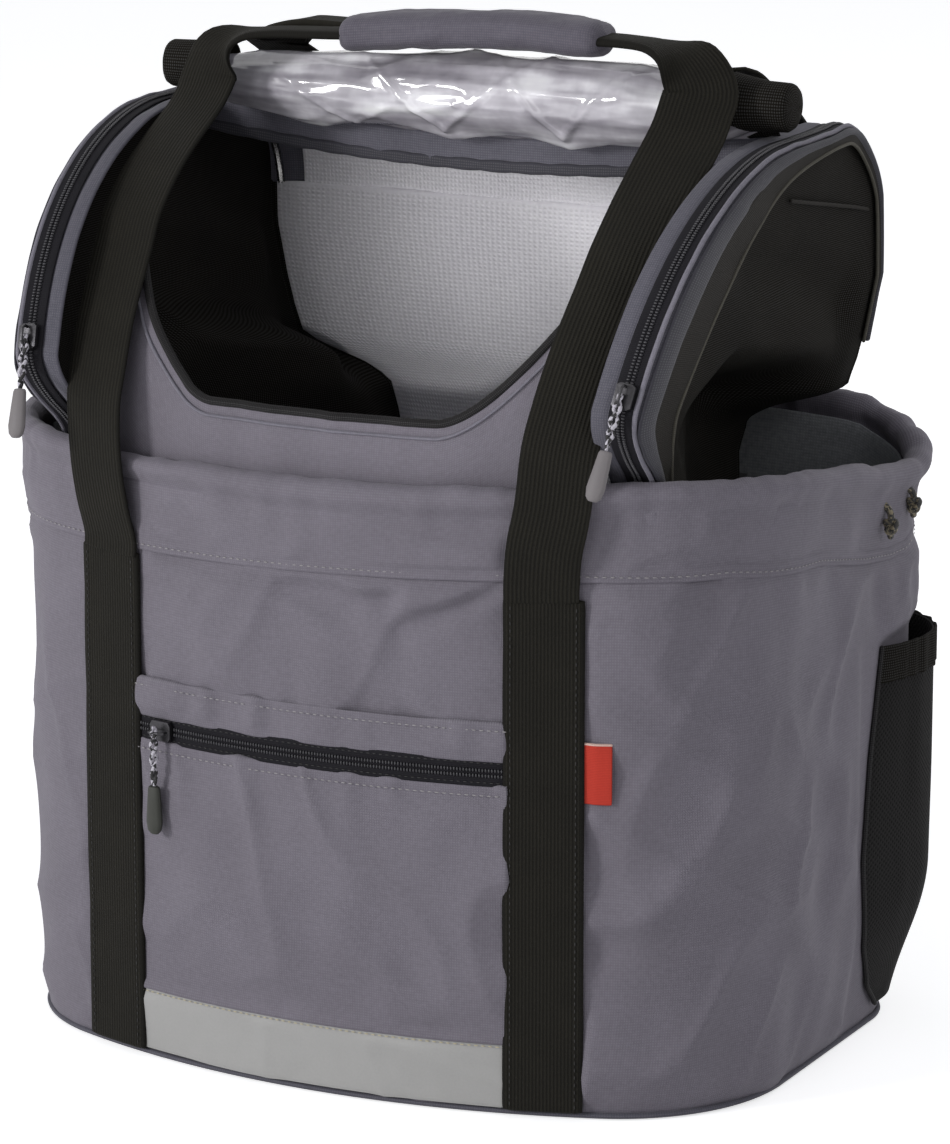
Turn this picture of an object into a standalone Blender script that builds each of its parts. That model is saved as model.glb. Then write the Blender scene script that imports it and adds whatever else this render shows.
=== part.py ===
"""Soft pet carrier for a bicycle: a fabric tub with a hooped hood, webbing
handles, zipped front pocket and a mounting plate on its back.

Metres, +Z up, front faces -Y.  Every panel and trim piece is laid on one
shell surface, addressed by a place along the outline, a height and a
distance off the fabric.
"""

import math

import bmesh
import bpy
from mathutils import Vector

# Shell outline
HALF_WIDTH_BASE = 0.1750
HALF_WIDTH_BELLY = 0.1785
HALF_WIDTH_RIM = 0.1835
BELLY_HEIGHT = 0.060
FLARE_START = 0.205
FRONT_REACH = 0.1305
FRONT_RADIUS = 0.3520
CORNER_RADIUS = 0.0775
BACK_REACH = 0.1210
BACK_REACH_BASE = 0.1000
BACK_ROUNDING = 0.0500
BACK_CORNER = 0.0400
SHELL_TOP = 0.2540
PANEL = 0.0025
GAP = 0.0003

# Base
BASE_SKIN = 0.0020
PIPING_RADIUS = 0.0012
BOARD = 0.0030
BOARD_INSET = 0.0008
CUSHION_HEIGHT = 0.0240
CUSHION_CLEAR = 0.0015
CUSHION_CORNER = 0.0250
CUSHION_CROWN = 0.0070
CUSHION_EDGE = 0.0100

# Rim casing and its cord
CASING_PLY = 0.0010
CASING_DEPTH = 0.0300
RIM_HEIGHT = 0.2655
BULB_RADIUS = 0.0042
DRAWCORD_RADIUS = 0.0019
EXIT_SLOT = 0.0140
TAIL_DROP = 0.0220

# Webbing
WEBBING = 0.0300
WEBBING_THICK = 0.0016
STRAP_X = 0.1020
LOOP_X = 0.1095
SEWN_TOP = 0.2220
REAR_SEWN_START = 0.0560
FOLDED_WIDTH = 0.0160
FOLDED_THICK = 0.0034
LOOP_RISE = 0.0415

# Grip
GRIP_LENGTH = 0.1260
GRIP_SHIFT = 0.0120
GRIP_WIDTH = 0.0270
GRIP_HEIGHT = 0.0165
GRIP_CLEAR = 0.0006

# Front trim
POCKET_SKIN = 0.0012
STRIP_BOTTOM = 0.0040
STRIP_TOP = 0.0320
STRIP_THICK = 0.0006
ZIP_HEIGHT = 0.1480
TAPE_HEIGHT = 0.0110
TAPE_THICK = 0.0010
WELT_HEIGHT = 0.0155
SLIDER_PARK_X = 0.0730
TAB_WIDTH = 0.0130
TAB_HEIGHT = 0.0250
TAB_THICK = 0.0012

# Slider and its pull
SLIDER_LENGTH = 0.0110
SLIDER_WIDTH = 0.0085
SLIDER_THICK = 0.0026
BAIL_RISE = 0.0046
BAIL_BAR = 0.0014
PULL_CORD_RADIUS = 0.0010
PULL_CORD_DROP = 0.0230
PULL_SPREAD = 0.0034
TIP_LENGTH = 0.0210
TIP_WIDTH = 0.0085
TIP_THICK = 0.0050

# Hood
ARC_RADIUS = 0.1370
ARC_Y = 0.0100
ARC_Z = 0.2585
HOOD_BACK_Y = 0.1125
HOOD_CORNER = 0.0450
BAND_X_FOOT = 0.1023
BAND_LEAN = 0.1200
BAND_INNER = 0.0130
BAND_OUTER = 0.0070
BAND_THICK = 0.0022
BAND_RETURN = 0.0100
BAND_TAIL = 0.0060
TUCK_Z = 0.2660
TUCK_Y = 0.0900
TUCK_TOP_Z = 0.3030
HOOD_TAPE_WIDTH = 0.0110
SIDE_WALL = 0.0016
SIDE_WALL_FOOT = 0.0070
WALL_FRONT_Y = 0.0860
POCKET_DEPTH = 0.0560
POCKET_FOLD_TOP = 0.3020
POCKET_FOLD_LOW = 0.2560
BASE_SPLAY = 0.0440
BINDING_THICK = 0.0014
HOOP_RADIUS = 0.0016
BACK_WALL = 0.0020
ROOF_SKIN = 0.0022
ROOF_FRONT_Y = 0.0300
ROOF_BAND = 0.0120
ROOF_SAG = 0.0090
BIB_SKIN = 0.0020
BIB_HALF = 0.1190
BIB_LOW = 0.2910
BIB_HIGH = 0.3640
BIB_FLAT = 0.0540
BIB_FOOT = 0.2050
BIB_CLEAR = 0.0040
BIB_LEAN_Z = 0.2750
BIB_LEAN = 0.0420
SIDE_SLIDER_Z = 0.3100

# Rolled window flap
ROLL_INSET = 0.0016
ROLL_Y = 0.0220
ROLL_LIFT = 0.0005
ROLL_RADIUS_END = 0.0095
ROLL_RADIUS_MIDDLE = 0.0190
ROLL_SHEET = 0.0010
ROLL_TURNS = 2.25

# Mesh pockets at the rear corners
MESH_TOP = 0.1720
MESH_FOOT = 0.0090
MESH_SKIN = 0.0010
MESH_STAND_OFF = 0.0090

# Back plate
STIFFENER_FOOT = 0.0600
STIFFENER_TOP = 0.2290
STIFFENER_HALF = 0.0900
PLATE_WIDTH = 0.1000
PLATE_FOOT = 0.1080
PLATE_TOP = 0.1960
PLATE_THICK = 0.0080
HOOK_REACH = 0.0100
HOOK_LIP = 0.0050
HOOK_DROP = 0.0160
HOOK_ROOF = 0.0060
SCREW_X = 0.0360
SCREW_LOW = 0.1300
SCREW_HIGH = 0.1680
SCREW_RADIUS = 0.0025
SCREW_HEAD_RADIUS = 0.0055
SCREW_HEAD = 0.0030
SCREW_CLEAR = 0.0003
BUTTON_WIDTH = 0.0300
BUTTON_HEIGHT = 0.0160
BUTTON_PROUD = 0.0030
BUTTON_TRAVEL = 0.0050

# Inside safety leash
LEASH_WIDTH = 0.0120
LEASH_THICK = 0.0014
LEASH_TOP = 0.2350
LEASH_LENGTH = 0.0700
SNAP_LENGTH = 0.0340
SNAP_WIDTH = 0.0150
SNAP_ROD = 0.0022

# The hood's sides lean, so its arc is a circle in the leaning plane
LEAN_COS = 1 / math.sqrt(1 + BAND_LEAN * BAND_LEAN)
LEAN_SIN = BAND_LEAN * LEAN_COS
ARC_RISE = ARC_RADIUS * LEAN_COS
HOOD_TOP = ARC_Z + ARC_RISE
LOOP_TOP = HOOD_TOP + LOOP_RISE

# The part stands over the origin, half way between its front and its hooks
BACK_EXTENT = BACK_REACH + GAP + PLATE_THICK + HOOK_REACH + HOOK_LIP
FRONT_EXTENT = FRONT_REACH + BULB_RADIUS - PANEL / 2
SHIFT_Y = (FRONT_EXTENT - BACK_EXTENT) / 2

COLUMN = 0.0110
COLORS = {
    "grey_fabric": ((0.155, 0.145, 0.165), 0.85, 0.0),
    "dark_lining": ((0.030, 0.030, 0.033), 0.90, 0.0),
    "black_fabric": ((0.012, 0.011, 0.010), 0.80, 0.0),
    "light_lining": ((0.420, 0.400, 0.460), 0.80, 0.0),
    "webbing": ((0.026, 0.025, 0.022), 0.80, 0.0),
    "zip": ((0.020, 0.020, 0.024), 0.60, 0.0),
    "metal": ((0.060, 0.060, 0.062), 0.35, 1.0),
    "steel": ((0.550, 0.550, 0.560), 0.30, 1.0),
    "cord": ((0.160, 0.160, 0.160), 0.80, 0.0),
    "rubber_grey": ((0.200, 0.190, 0.195), 0.70, 0.0),
    "rubber_black": ((0.020, 0.022, 0.020), 0.70, 0.0),
    "reflective": ((0.450, 0.450, 0.440), 0.35, 0.3),
    "red": ((0.600, 0.040, 0.025), 0.70, 0.0),
    "grip": ((0.170, 0.165, 0.185), 0.70, 0.0),
    "clear": ((0.640, 0.620, 0.660), 0.15, 0.0),
    "mesh": ((0.015, 0.015, 0.015), 0.90, 0.0),
    "plastic": ((0.015, 0.015, 0.016), 0.45, 0.0),
    "board": ((0.090, 0.090, 0.090), 0.60, 0.0),
}


def material(name):
    found = bpy.data.materials.get(name)
    if found:
        return found
    made = bpy.data.materials.new(name)
    made.use_nodes = True
    shader = made.node_tree.nodes["Principled BSDF"]
    color, rough, metal = COLORS[name]
    shader.inputs["Base Color"].default_value = (*color, 1.0)
    shader.inputs["Roughness"].default_value = rough
    shader.inputs["Metallic"].default_value = metal
    return made


def make(name, points, faces, look, origin=(0, 0, 0)):
    """One closed solid as an object whose origin is at a world point."""
    base = Vector(origin)
    mesh = bpy.data.meshes.new(name)
    mesh.from_pydata([tuple(Vector(p) - base) for p in points], [], faces)
    work = bmesh.new()
    work.from_mesh(mesh)
    bmesh.ops.triangulate(work, faces=[f for f in work.faces if len(f.verts) > 4],
                          ngon_method="EAR_CLIP")
    bmesh.ops.recalc_face_normals(work, faces=work.faces)
    work.to_mesh(mesh)
    work.free()
    mesh.materials.append(material(look))
    made = bpy.data.objects.new(name, mesh)
    made.location = base + Vector((0, SHIFT_Y, 0))
    bpy.context.scene.collection.objects.link(made)
    return made


def split(a, b, c, d):
    """Two triangles of one quad, always cut along the same corner."""
    return [(a, b, c), (a, c, d)]


def slab(name, outer, inner, look, origin=(0, 0, 0)):
    """Closed solid between two grids of points, outer[i][j] and inner[i][j]."""
    rows, cols = len(outer), len(outer[0])
    points = [p for row in outer for p in row] + [p for row in inner for p in row]
    lift = rows * cols
    faces = []
    for i in range(rows - 1):
        for j in range(cols - 1):
            a = i * cols + j
            b, c, d = a + 1, a + cols + 1, a + cols
            faces += split(a, b, c, d)
            faces += split(a + lift, b + lift, c + lift, d + lift)
    border = [j for j in range(cols)]
    border += [i * cols + cols - 1 for i in range(1, rows)]
    border += [(rows - 1) * cols + j for j in range(cols - 2, -1, -1)]
    border += [i * cols for i in range(rows - 2, 0, -1)]
    for k, a in enumerate(border):
        b = border[(k + 1) % len(border)]
        faces += split(a, b, b + lift, a + lift)
    return make(name, points, faces, look, origin)


def loft(name, rings, look, closed=False, origin=(0, 0, 0)):
    """Closed solid through rings of equal count, capped or joined in a loop."""
    count, size = len(rings), len(rings[0])
    points = [p for ring in rings for p in ring]
    faces = []
    for i in range(count if closed else count - 1):
        k = (i + 1) % count
        for j in range(size):
            n = (j + 1) % size
            faces += split(i * size + j, i * size + n, k * size + n, k * size + j)
    if not closed:
        faces += [tuple(end * size + j for j in range(size)) for end in (0, count - 1)]
    return make(name, points, faces, look, origin)


def circle(radius, sides, turn=0.0):
    return [(radius * math.cos(turn + math.tau * k / sides),
             radius * math.sin(turn + math.tau * k / sides)) for k in range(sides)]


def tube(name, path, radius, look, sides=8, closed=False, origin=(0, 0, 0)):
    """Round tube along a path, turned as little as the path allows."""
    path = [Vector(p) for p in path]
    count = len(path)
    rings, side = [], None
    for i, here in enumerate(path):
        if closed:
            ahead = path[(i + 1) % count] - path[i - 1]
        else:
            ahead = path[min(i + 1, count - 1)] - path[max(i - 1, 0)]
        ahead.normalize()
        if side is None:
            side = ahead.orthogonal().normalized()
            if abs(ahead.z) < math.cos(math.pi / 4):
                side = Vector((0, 0, 1)).cross(ahead).normalized()
        side = (side - ahead * side.dot(ahead)).normalized()
        up = ahead.cross(side)
        rings.append([tuple(here + side * a + up * b)
                      for a, b in circle(radius, sides)])
    return loft(name, rings, look, closed, origin)


def ribbon(name, path, widths, thicks, look, across, origin=(0, 0, 0)):
    """Flat webbing along a path; across gives the width direction at each point."""
    path = [Vector(p) for p in path]
    rings = []
    for i, here in enumerate(path):
        ahead = (path[min(i + 1, len(path) - 1)] - path[max(i - 1, 0)]).normalized()
        wide = Vector(across[i])
        wide = (wide - ahead * wide.dot(ahead)).normalized()
        out = ahead.cross(wide)
        w, t = widths[i] / 2, thicks[i] / 2
        rings.append([tuple(here + wide * a * w + out * b * t)
                      for a, b in ((-1, -1), (0, -1), (1, -1), (1, 1), (0, 1), (-1, 1))])
    return loft(name, rings, look, False, origin)


def smooth(share):
    share = min(max(share, 0.0), 1.0)
    return share * share * (3 - 2 * share)


def blend(a, b, share):
    return a + (b - a) * share


def mirror(points):
    return [(-p[0], p[1], p[2]) for p in points]


# Shell surface

def half_width(z):
    if z < BELLY_HEIGHT:
        return blend(HALF_WIDTH_BASE, HALF_WIDTH_BELLY, smooth(z / BELLY_HEIGHT))
    share = (z - FLARE_START) / (RIM_HEIGHT - FLARE_START)
    return blend(HALF_WIDTH_BELLY, HALF_WIDTH_RIM, smooth(share))


def back_reach(z):
    share = min(max(1 - z / BACK_ROUNDING, 0.0), 1.0)
    return blend(BACK_REACH_BASE, BACK_REACH, math.sqrt(1 - share * share))


def front_turn(z):
    """Angle at which the front arc meets the corner arc."""
    middle = half_width(z) - CORNER_RADIUS
    return math.asin(middle / (FRONT_RADIUS - CORNER_RADIUS))


def shell(seg, share, z, off):
    """Point off the shell's outer face.  Segments: 0 front arc, 1 corner arc,
    2 side, 3 rear corner arc, 4 back from the corner to the middle."""
    wide, turn = half_width(z), front_turn(z)
    corner_x = wide - CORNER_RADIUS
    corner_y = (-FRONT_REACH + FRONT_RADIUS
                - (FRONT_RADIUS - CORNER_RADIUS) * math.cos(turn))
    rear = back_reach(z) - BACK_CORNER
    if seg == 0:
        angle = turn * share
        radius = FRONT_RADIUS + off
        return (radius * math.sin(angle),
                FRONT_RADIUS - FRONT_REACH - radius * math.cos(angle), z)
    if seg == 1:
        angle = blend(turn, math.pi / 2, share)
        radius = CORNER_RADIUS + off
        return (corner_x + radius * math.sin(angle),
                corner_y - radius * math.cos(angle), z)
    if seg == 2:
        return (wide + off, blend(corner_y, rear, share), z)
    if seg == 3:
        angle = math.pi / 2 * share
        radius = BACK_CORNER + off
        return (wide - BACK_CORNER + radius * math.cos(angle),
                rear + radius * math.sin(angle), z)
    return (blend(wide - BACK_CORNER, 0.0, share), rear + BACK_CORNER + off, z)


def front_at(x, z, off):
    """Point of the front arc above a given x of the shell's face."""
    angle = math.asin(x / FRONT_RADIUS)
    radius = FRONT_RADIUS + off
    return (radius * math.sin(angle),
            FRONT_RADIUS - FRONT_REACH - radius * math.cos(angle), z)


def front_share(x, z):
    return math.asin(x / FRONT_RADIUS) / front_turn(z)


def back_share(x, z):
    return 1 - x / (half_width(z) - BACK_CORNER)


def side_columns(from_x, to_x):
    """Columns right round one side, from a front x to a back x."""
    columns = [("front", from_x, k / 3) for k in range(3)]
    columns += [(1, k / 8) for k in range(9)]
    columns += [(2, k / 3) for k in range(1, 3)]
    columns += [(3, k / 6) for k in range(7)]
    columns += [("back", to_x, k / 2) for k in range(1, 3)]
    return columns


def column_point(column, z, off):
    if column[0] == "front":
        start = front_share(column[1], z)
        return shell(0, blend(start, 1.0, column[2]), z, off)
    if column[0] == "back":
        end = back_share(column[1], z)
        return shell(4, blend(0.0, end, column[2]), z, off)
    return shell(column[0], column[1], z, off)


PANEL_ROW_SHARES = (0.0, 0.03, 0.085, 0.19, 0.42, 0.65, 0.86, 1.0)


def panel_rows(foot, top):
    return [blend(foot, top, share) for share in PANEL_ROW_SHARES]


def steps(start, end, longest):
    count = max(1, math.ceil(abs(end - start) / longest))
    return [blend(start, end, k / count) for k in range(count + 1)]


def flip(points, left):
    return mirror(points) if left else points


def shell_panels():
    rows = panel_rows(BASE_SKIN + GAP, SHELL_TOP)
    seam = GAP / 2
    xs = steps(-STRAP_X + seam, STRAP_X - seam, 2 * COLUMN)
    slab("front_panel", [[front_at(x, z, 0.0) for x in xs] for z in rows],
         [[front_at(x, z, -PANEL) for x in xs] for z in rows], "grey_fabric")
    columns = side_columns(STRAP_X + seam, STRAP_X + seam)
    for left in (False, True):
        name = "side_panel_left" if left else "side_panel_right"
        slab(name, [flip([column_point(c, z, 0.0) for c in columns], left) for z in rows],
             [flip([column_point(c, z, -PANEL) for c in columns], left) for z in rows],
             "grey_fabric")
    xs = steps(-STRAP_X + seam, STRAP_X - seam, 4 * COLUMN)
    def back(z, off):
        return [(x, back_reach(z) + off, z) for x in xs]
    slab("back_panel", [back(z, 0.0) for z in rows],
         [back(z, -PANEL) for z in rows], "grey_fabric")


def outline_ring(z, off):
    """Whole outline at one height, anticlockwise from the front middle."""
    right = [shell(0, k / 6, z, off) for k in range(6)]
    right += [shell(1, k / 7, z, off) for k in range(7)]
    right += [shell(2, k / 3, z, off) for k in range(3)]
    right += [shell(3, k / 6, z, off) for k in range(6)]
    right += [shell(4, k / 3, z, off) for k in range(3)]
    back = [shell(4, 1.0, z, off)]
    return right + back + mirror(right[:0:-1])


def base_pieces():
    loft("base_panel", [outline_ring(0.0, 0.0), outline_ring(BASE_SKIN, 0.0)],
         "grey_fabric")
    seam = BASE_SKIN + 2 * PIPING_RADIUS
    ring = [(p[0], p[1], PIPING_RADIUS + GAP)
            for p in outline_ring(seam, PIPING_RADIUS + GAP)]
    tube("base_piping", ring, PIPING_RADIUS, "zip", sides=6, closed=True)
    inset = -PANEL - BOARD_INSET
    foot = BASE_SKIN + GAP
    loft("base_board", [outline_ring(foot, inset), outline_ring(foot + BOARD, inset)],
         "board")


def cabin_ring(z, inset):
    """Outline of the space between the front panel, side walls and back wall."""
    clear = inset + CUSHION_CLEAR
    corner = CUSHION_CORNER
    rear = rear_wall_y(z) - BACK_WALL - clear
    front = [front_at(x, z, -PANEL - clear)
             for x in steps(0.0, wall_x(0.0, z) - SIDE_WALL - corner, 4 * COLUMN)]
    side = [(wall_x(s, z) - SIDE_WALL - clear, blend(-WALL_FRONT_Y, rear - corner, s), z)
            for s in WALL_COLUMN_SHARES[::2]]
    edge = wall_x(1.0, z) - SIDE_WALL - clear - corner
    turn = [(edge + corner * math.cos(a), rear - corner + corner * math.sin(a), z)
            for a in (math.pi / 6, math.pi / 3, math.pi / 2)]
    right = front + side + turn
    return right + [(0.0, rear, z)] + mirror(right[:0:-1])


def cushion():
    foot = BASE_SKIN + BOARD + 2 * GAP
    rings = []
    for rise_share, inset_share in CUSHION_SHARES:
        z = foot + (CUSHION_HEIGHT - CUSHION_CROWN) * rise_share
        ring = cabin_ring(SIDE_WALL_FOOT, CUSHION_EDGE * inset_share)
        rings.append([(p[0], p[1], z) for p in ring])
    top = rings[-1]
    for shrink in CUSHION_TOP_SHARES:
        lift = CUSHION_CROWN * (1 - shrink * shrink)
        rings.append([(p[0] * shrink, p[1] * shrink, p[2] + lift) for p in top])
    loft("base_cushion", rings, "light_lining")


CUSHION_SHARES = ((0.0, 0.45), (0.12, 0.1), (0.45, 0.0), (0.8, 0.12), (1.0, 0.5))
CUSHION_TOP_SHARES = (0.85, 0.62, 0.35, 0.1)


# Rim casing: a folded strip over the shell's top edge with a cord inside

def casing_section():
    """Outline of the folded strip as (off, z), outer face then inner face."""
    mid = -PANEL / 2
    top = RIM_HEIGHT - BULB_RADIUS
    reach = PANEL / 2 + GAP
    foot = RIM_HEIGHT - BULB_RADIUS - CASING_DEPTH
    outer = [(mid + reach + CASING_PLY, foot)]
    outer += [(mid + BULB_RADIUS * math.cos(a), top + BULB_RADIUS * math.sin(a))
              for a in [math.pi * (k - 1) / 6 for k in range(9)]]
    outer += [(mid - reach - CASING_PLY, foot)]
    small = BULB_RADIUS - CASING_PLY
    inner = [(mid - reach, foot)]
    inner += [(mid + small * math.cos(a), top + small * math.sin(a))
              for a in [math.pi * (7 - k) / 6 for k in range(9)]]
    inner += [(mid + reach, foot)]
    return outer + inner


def rim_columns():
    """Stations right round the rim from one side of the cord's slot to the other."""
    side = [(1, k / 7) for k in range(8)] + [(2, k / 3) for k in range(1, 4)]
    rear = [(3, k / 6) for k in range(1, 7)]
    back = [(4, k / 3) for k in range(1, 4)]
    front = [(0, k / 6) for k in range(1, 6)]
    slot = EXIT_SLOT / (BACK_CORNER * math.pi / 2)
    right_rear = [(3, slot)] + [(3, k / 6) for k in range(2, 7)]
    path = [(c, False) for c in right_rear + back]
    path += [(c, True) for c in back[-2::-1] + rear[::-1] + side[::-1]]
    path += [(c, True) for c in front[::-1]] + [((0, 0.0), False)]
    path += [(c, False) for c in front + side]
    return path


def rim_pieces():
    section = casing_section()
    stations = rim_columns()
    rings = []
    for (seg, share), left in stations:
        ring = [shell(seg, share, z, off) for off, z in section]
        rings.append(flip(ring, left))
    loft("rim_casing", rings, "grey_fabric")
    mid = -PANEL / 2
    height = RIM_HEIGHT - CASING_PLY - GAP - DRAWCORD_RADIUS
    path = [flip([shell(seg, share, height, mid)], left)[0]
            for (seg, share), left in stations]
    slot = stations[0][0][1]
    start = [shell(3, slot * s, height - TAIL_DROP * d, mid + BULB_RADIUS * o)
             for s, d, o in TAIL_START_SHARES]
    finish = [shell(3, slot * s, height - TAIL_DROP * d, mid + BULB_RADIUS * o)
              for s, d, o in TAIL_END_SHARES]
    tube("rim_drawcord", start + path + finish, DRAWCORD_RADIUS, "cord", sides=6)


TAIL_START_SHARES = ((0.76, 1.0, 1.75), (0.74, 0.6, 1.95), (0.70, 0.25, 2.0),
                     (0.68, 0.03, 1.5), (0.72, 0.0, 0.6), (0.86, 0.0, 0.0))
TAIL_END_SHARES = ((0.14, 0.0, 0.0), (0.28, 0.0, 0.6), (0.32, 0.03, 1.5),
                   (0.30, 0.3, 2.0), (0.26, 0.7, 1.95), (0.22, 1.15, 1.75))


# Webbing

def sewn_straps():
    rows = panel_rows(2 * BASE_SKIN + GAP, SEWN_TOP)
    for left in (False, True):
        side = -1 if left else 1
        xs = steps(STRAP_X - WEBBING / 2, STRAP_X + WEBBING / 2, COLUMN)
        tag = "left" if left else "right"
        slab("front_strap_" + tag,
             [flip([front_at(x, z, GAP + WEBBING_THICK) for x in xs], left) for z in rows],
             [flip([front_at(x, z, GAP) for x in xs], left) for z in rows], "webbing")
        back = [REAR_SEWN_START, SEWN_TOP]
        slab("rear_strap_" + tag,
             [[(side * x, BACK_REACH + GAP + WEBBING_THICK, z) for x in xs] for z in back],
             [[(side * x, BACK_REACH + GAP, z) for x in xs] for z in back], "webbing")


# Places on a handle's leg as shares of the distances from its sewn end to the
# hood's reach, between the sewn and free widths, and up to the crossbar.
FRONT_LEG_SHARES = ((0.0, 0.0, 0.0), (0.0, 0.0, 0.03), (0.3, 0.093, 0.1015), (0.6, 0.12, 0.186),
                    (0.83, 0.06, 0.293), (1.02, -0.167, 0.3636), (1.22, -0.481, 0.434),
                    (1.43, -0.87, 0.504), (1.66, -1.30, 0.574), (1.88, -1.74, 0.644),
                    (2.03, -2.37, 0.710), (2.11, -3.11, 0.775), (2.13, -3.81, 0.836),
                    (2.10, -4.15, 0.878), (2.04, -4.35, 0.916))
REAR_LEG_SHARES = ((0.0, 0.0, 0.0), (0.0, 0.0, 0.03), (0.3, 0.04, 0.1035), (0.6, 0.06, 0.189),
                   (1.0, 0.03, 0.37), (1.0, -0.026, 0.513), (1.0, -0.14, 0.633),
                   (1.0, -0.48, 0.728), (1.0, -1.08, 0.80), (1.0, -1.74, 0.857),
                   (1.0, -2.45, 0.905), (0.98, -3.05, 0.943))
LEG_BOW = 0.0270
LIE_FLAT = 0.50
LIE_FADE = 0.30
FRONT_TWIST = 0.50
TURN_SHARES = ((0.94, 0.95), (0.84, 0.985), (0.72, 1.0))
FRONT_TURN_SHARES = ((1.018, 0.9625), (0.922, 0.9906), (0.77, 1.0))


def handle(name, start_y, turn_sign, leg_shares, bar_y, bar_z, left_shares, hinge_y, twist):
    """One webbing loop: a leg on each side and a crossbar, as a single ribbon."""
    foot = SEWN_TOP + GAP
    rise = bar_z - foot
    half = []
    lie = math.asin(STRAP_X / FRONT_RADIUS) if turn_sign < 0 else 0.0
    for wide_share, bow_share, up_share in leg_shares:
        x = blend(STRAP_X, LOOP_X, wide_share)
        y = start_y + turn_sign * LEG_BOW * bow_share
        turn = blend(lie, twist, smooth((up_share - LIE_FLAT) / LIE_FADE))
        half.append(((x, y, foot + rise * up_share), WEBBING, WEBBING_THICK,
                     (math.cos(turn), math.sin(turn), 0)))
    last_y = half[-1][0][1]
    for k, (x_share, up_share) in enumerate(left_shares):
        part = (k + 1) / len(left_shares)
        y = blend(last_y, bar_y, smooth(part))
        half.append(((LOOP_X * x_share, y, foot + rise * up_share),
                     blend(WEBBING, FOLDED_WIDTH, part),
                     blend(WEBBING_THICK, FOLDED_THICK, part),
                     (1 - part, -turn_sign * part, 0)))
    rest = [((-p[0], p[1], p[2]), w, t, (-a[0], a[1], a[2]))
            for p, w, t, a in reversed(half)]
    middle = [((LOOP_X * s, bar_y, bar_z), FOLDED_WIDTH, FOLDED_THICK,
               (0, -turn_sign, 0)) for s in BAR_SHARES]
    whole = half + middle + rest
    path = [p for p, w, t, a in whole]
    aims = []
    for p, w, t, a in whole:
        aim = Vector(a)
        if aims and aim.dot(Vector(aims[-1])) < 0:
            aim = -aim
        aims.append(tuple(aim))
    return ribbon(name, path, [w for p, w, t, a in whole], [t for p, w, t, a in whole],
                  "webbing", aims, origin=(0, hinge_y, foot))


BAR_SHARES = (0.45, 0.25, 0.0, -0.25, -0.45)


def front_pivot_y():
    return front_at(STRAP_X, 0.0, GAP + WEBBING_THICK / 2)[1] - WEBBING_THICK


def front_hinge_y():
    """The loop's foot slants on the curved front and turns about its foremost edge."""
    lie = math.asin(STRAP_X / FRONT_RADIUS)
    return (front_pivot_y() - WEBBING / 2 * math.sin(lie)
            - WEBBING_THICK / 2 * math.cos(lie))


def rear_pivot_y():
    return BACK_REACH + GAP + WEBBING_THICK * 1.5


def handles():
    start = front_pivot_y()
    hinge = front_hinge_y()
    handle("front_handle_loop", start, -1, FRONT_LEG_SHARES, 0.0, LOOP_TOP, FRONT_TURN_SHARES,
           hinge, FRONT_TWIST)
    rear = rear_pivot_y()
    handle("rear_handle_loop", rear, 1, REAR_LEG_SHARES, REAR_BAR_Y,
           LOOP_TOP - REAR_BAR_DROP, TURN_SHARES, rear, 0.0)
    rings = []
    outer = circle(1.0, 12, math.tau / 24)
    for share, swell in GRIP_SHARES:
        x = GRIP_SHIFT + GRIP_LENGTH / 2 * share
        ring = [(x, a * GRIP_WIDTH / 2 * swell, LOOP_TOP + b * GRIP_HEIGHT / 2 * swell)
                for a, b in outer]
        rings.append(ring)
    bore_w = FOLDED_WIDTH / 2 + GRIP_CLEAR
    bore_h = FOLDED_THICK / 2 + GRIP_CLEAR
    bore = []
    for a, b in outer:
        reach = max(abs(a), abs(b))
        bore.append((a / reach * bore_w, b / reach * bore_h))
    for share, swell in reversed(GRIP_SHARES):
        x = GRIP_SHIFT + GRIP_LENGTH / 2 * share
        rings.append([(x, a, LOOP_TOP + b) for a, b in bore])
    loft("handle_grip", rings, "grip", closed=True,
         origin=(0, hinge, SEWN_TOP + GAP))


REAR_BAR_Y = 0.0240
REAR_BAR_DROP = 0.0040
GRIP_SHARES = ((-1.0, 0.90), (-0.94, 1.0), (-0.4, 1.0), (0.2, 1.0), (0.94, 1.0),
               (1.0, 0.90))


# Front pocket, strip and tab

def front_slab(name, x_from, x_to, z_from, z_to, inner, thick, look, rows=3):
    xs = steps(x_from, x_to, 2 * COLUMN)
    zs = [blend(z_from, z_to, k / rows) for k in range(rows + 1)]
    return slab(name, [[front_at(x, z, inner + thick) for x in xs] for z in zs],
                [[front_at(x, z, inner) for x in xs] for z in zs], look)


def front_trim():
    edge = STRAP_X - WEBBING / 2 - GAP
    front_slab("reflective_strip", -edge, edge, STRIP_BOTTOM, STRIP_TOP, GAP,
               STRIP_THICK, "reflective", rows=1)
    low = ZIP_HEIGHT - TAPE_HEIGHT / 2
    high = ZIP_HEIGHT + TAPE_HEIGHT / 2
    front_slab("front_pocket_face", -edge, edge, STRIP_TOP + GAP, low - GAP, GAP,
               POCKET_SKIN, "grey_fabric", rows=3)
    front_slab("front_zip_tape", -edge, edge, low, high, GAP, TAPE_THICK, "zip", rows=1)
    front_slab("front_pocket_welt", -edge, edge, high + GAP, high + WELT_HEIGHT, GAP,
               POCKET_SKIN, "grey_fabric", rows=1)
    start = STRAP_X + WEBBING / 2 + GAP
    front_slab("side_tab", start, start + TAB_WIDTH, ZIP_HEIGHT - TAB_HEIGHT / 2,
               ZIP_HEIGHT + TAB_HEIGHT / 2, GAP, TAB_THICK, "red", rows=1)


# Sliders.  A frame is (place, along the zip, across it, outwards).

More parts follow.
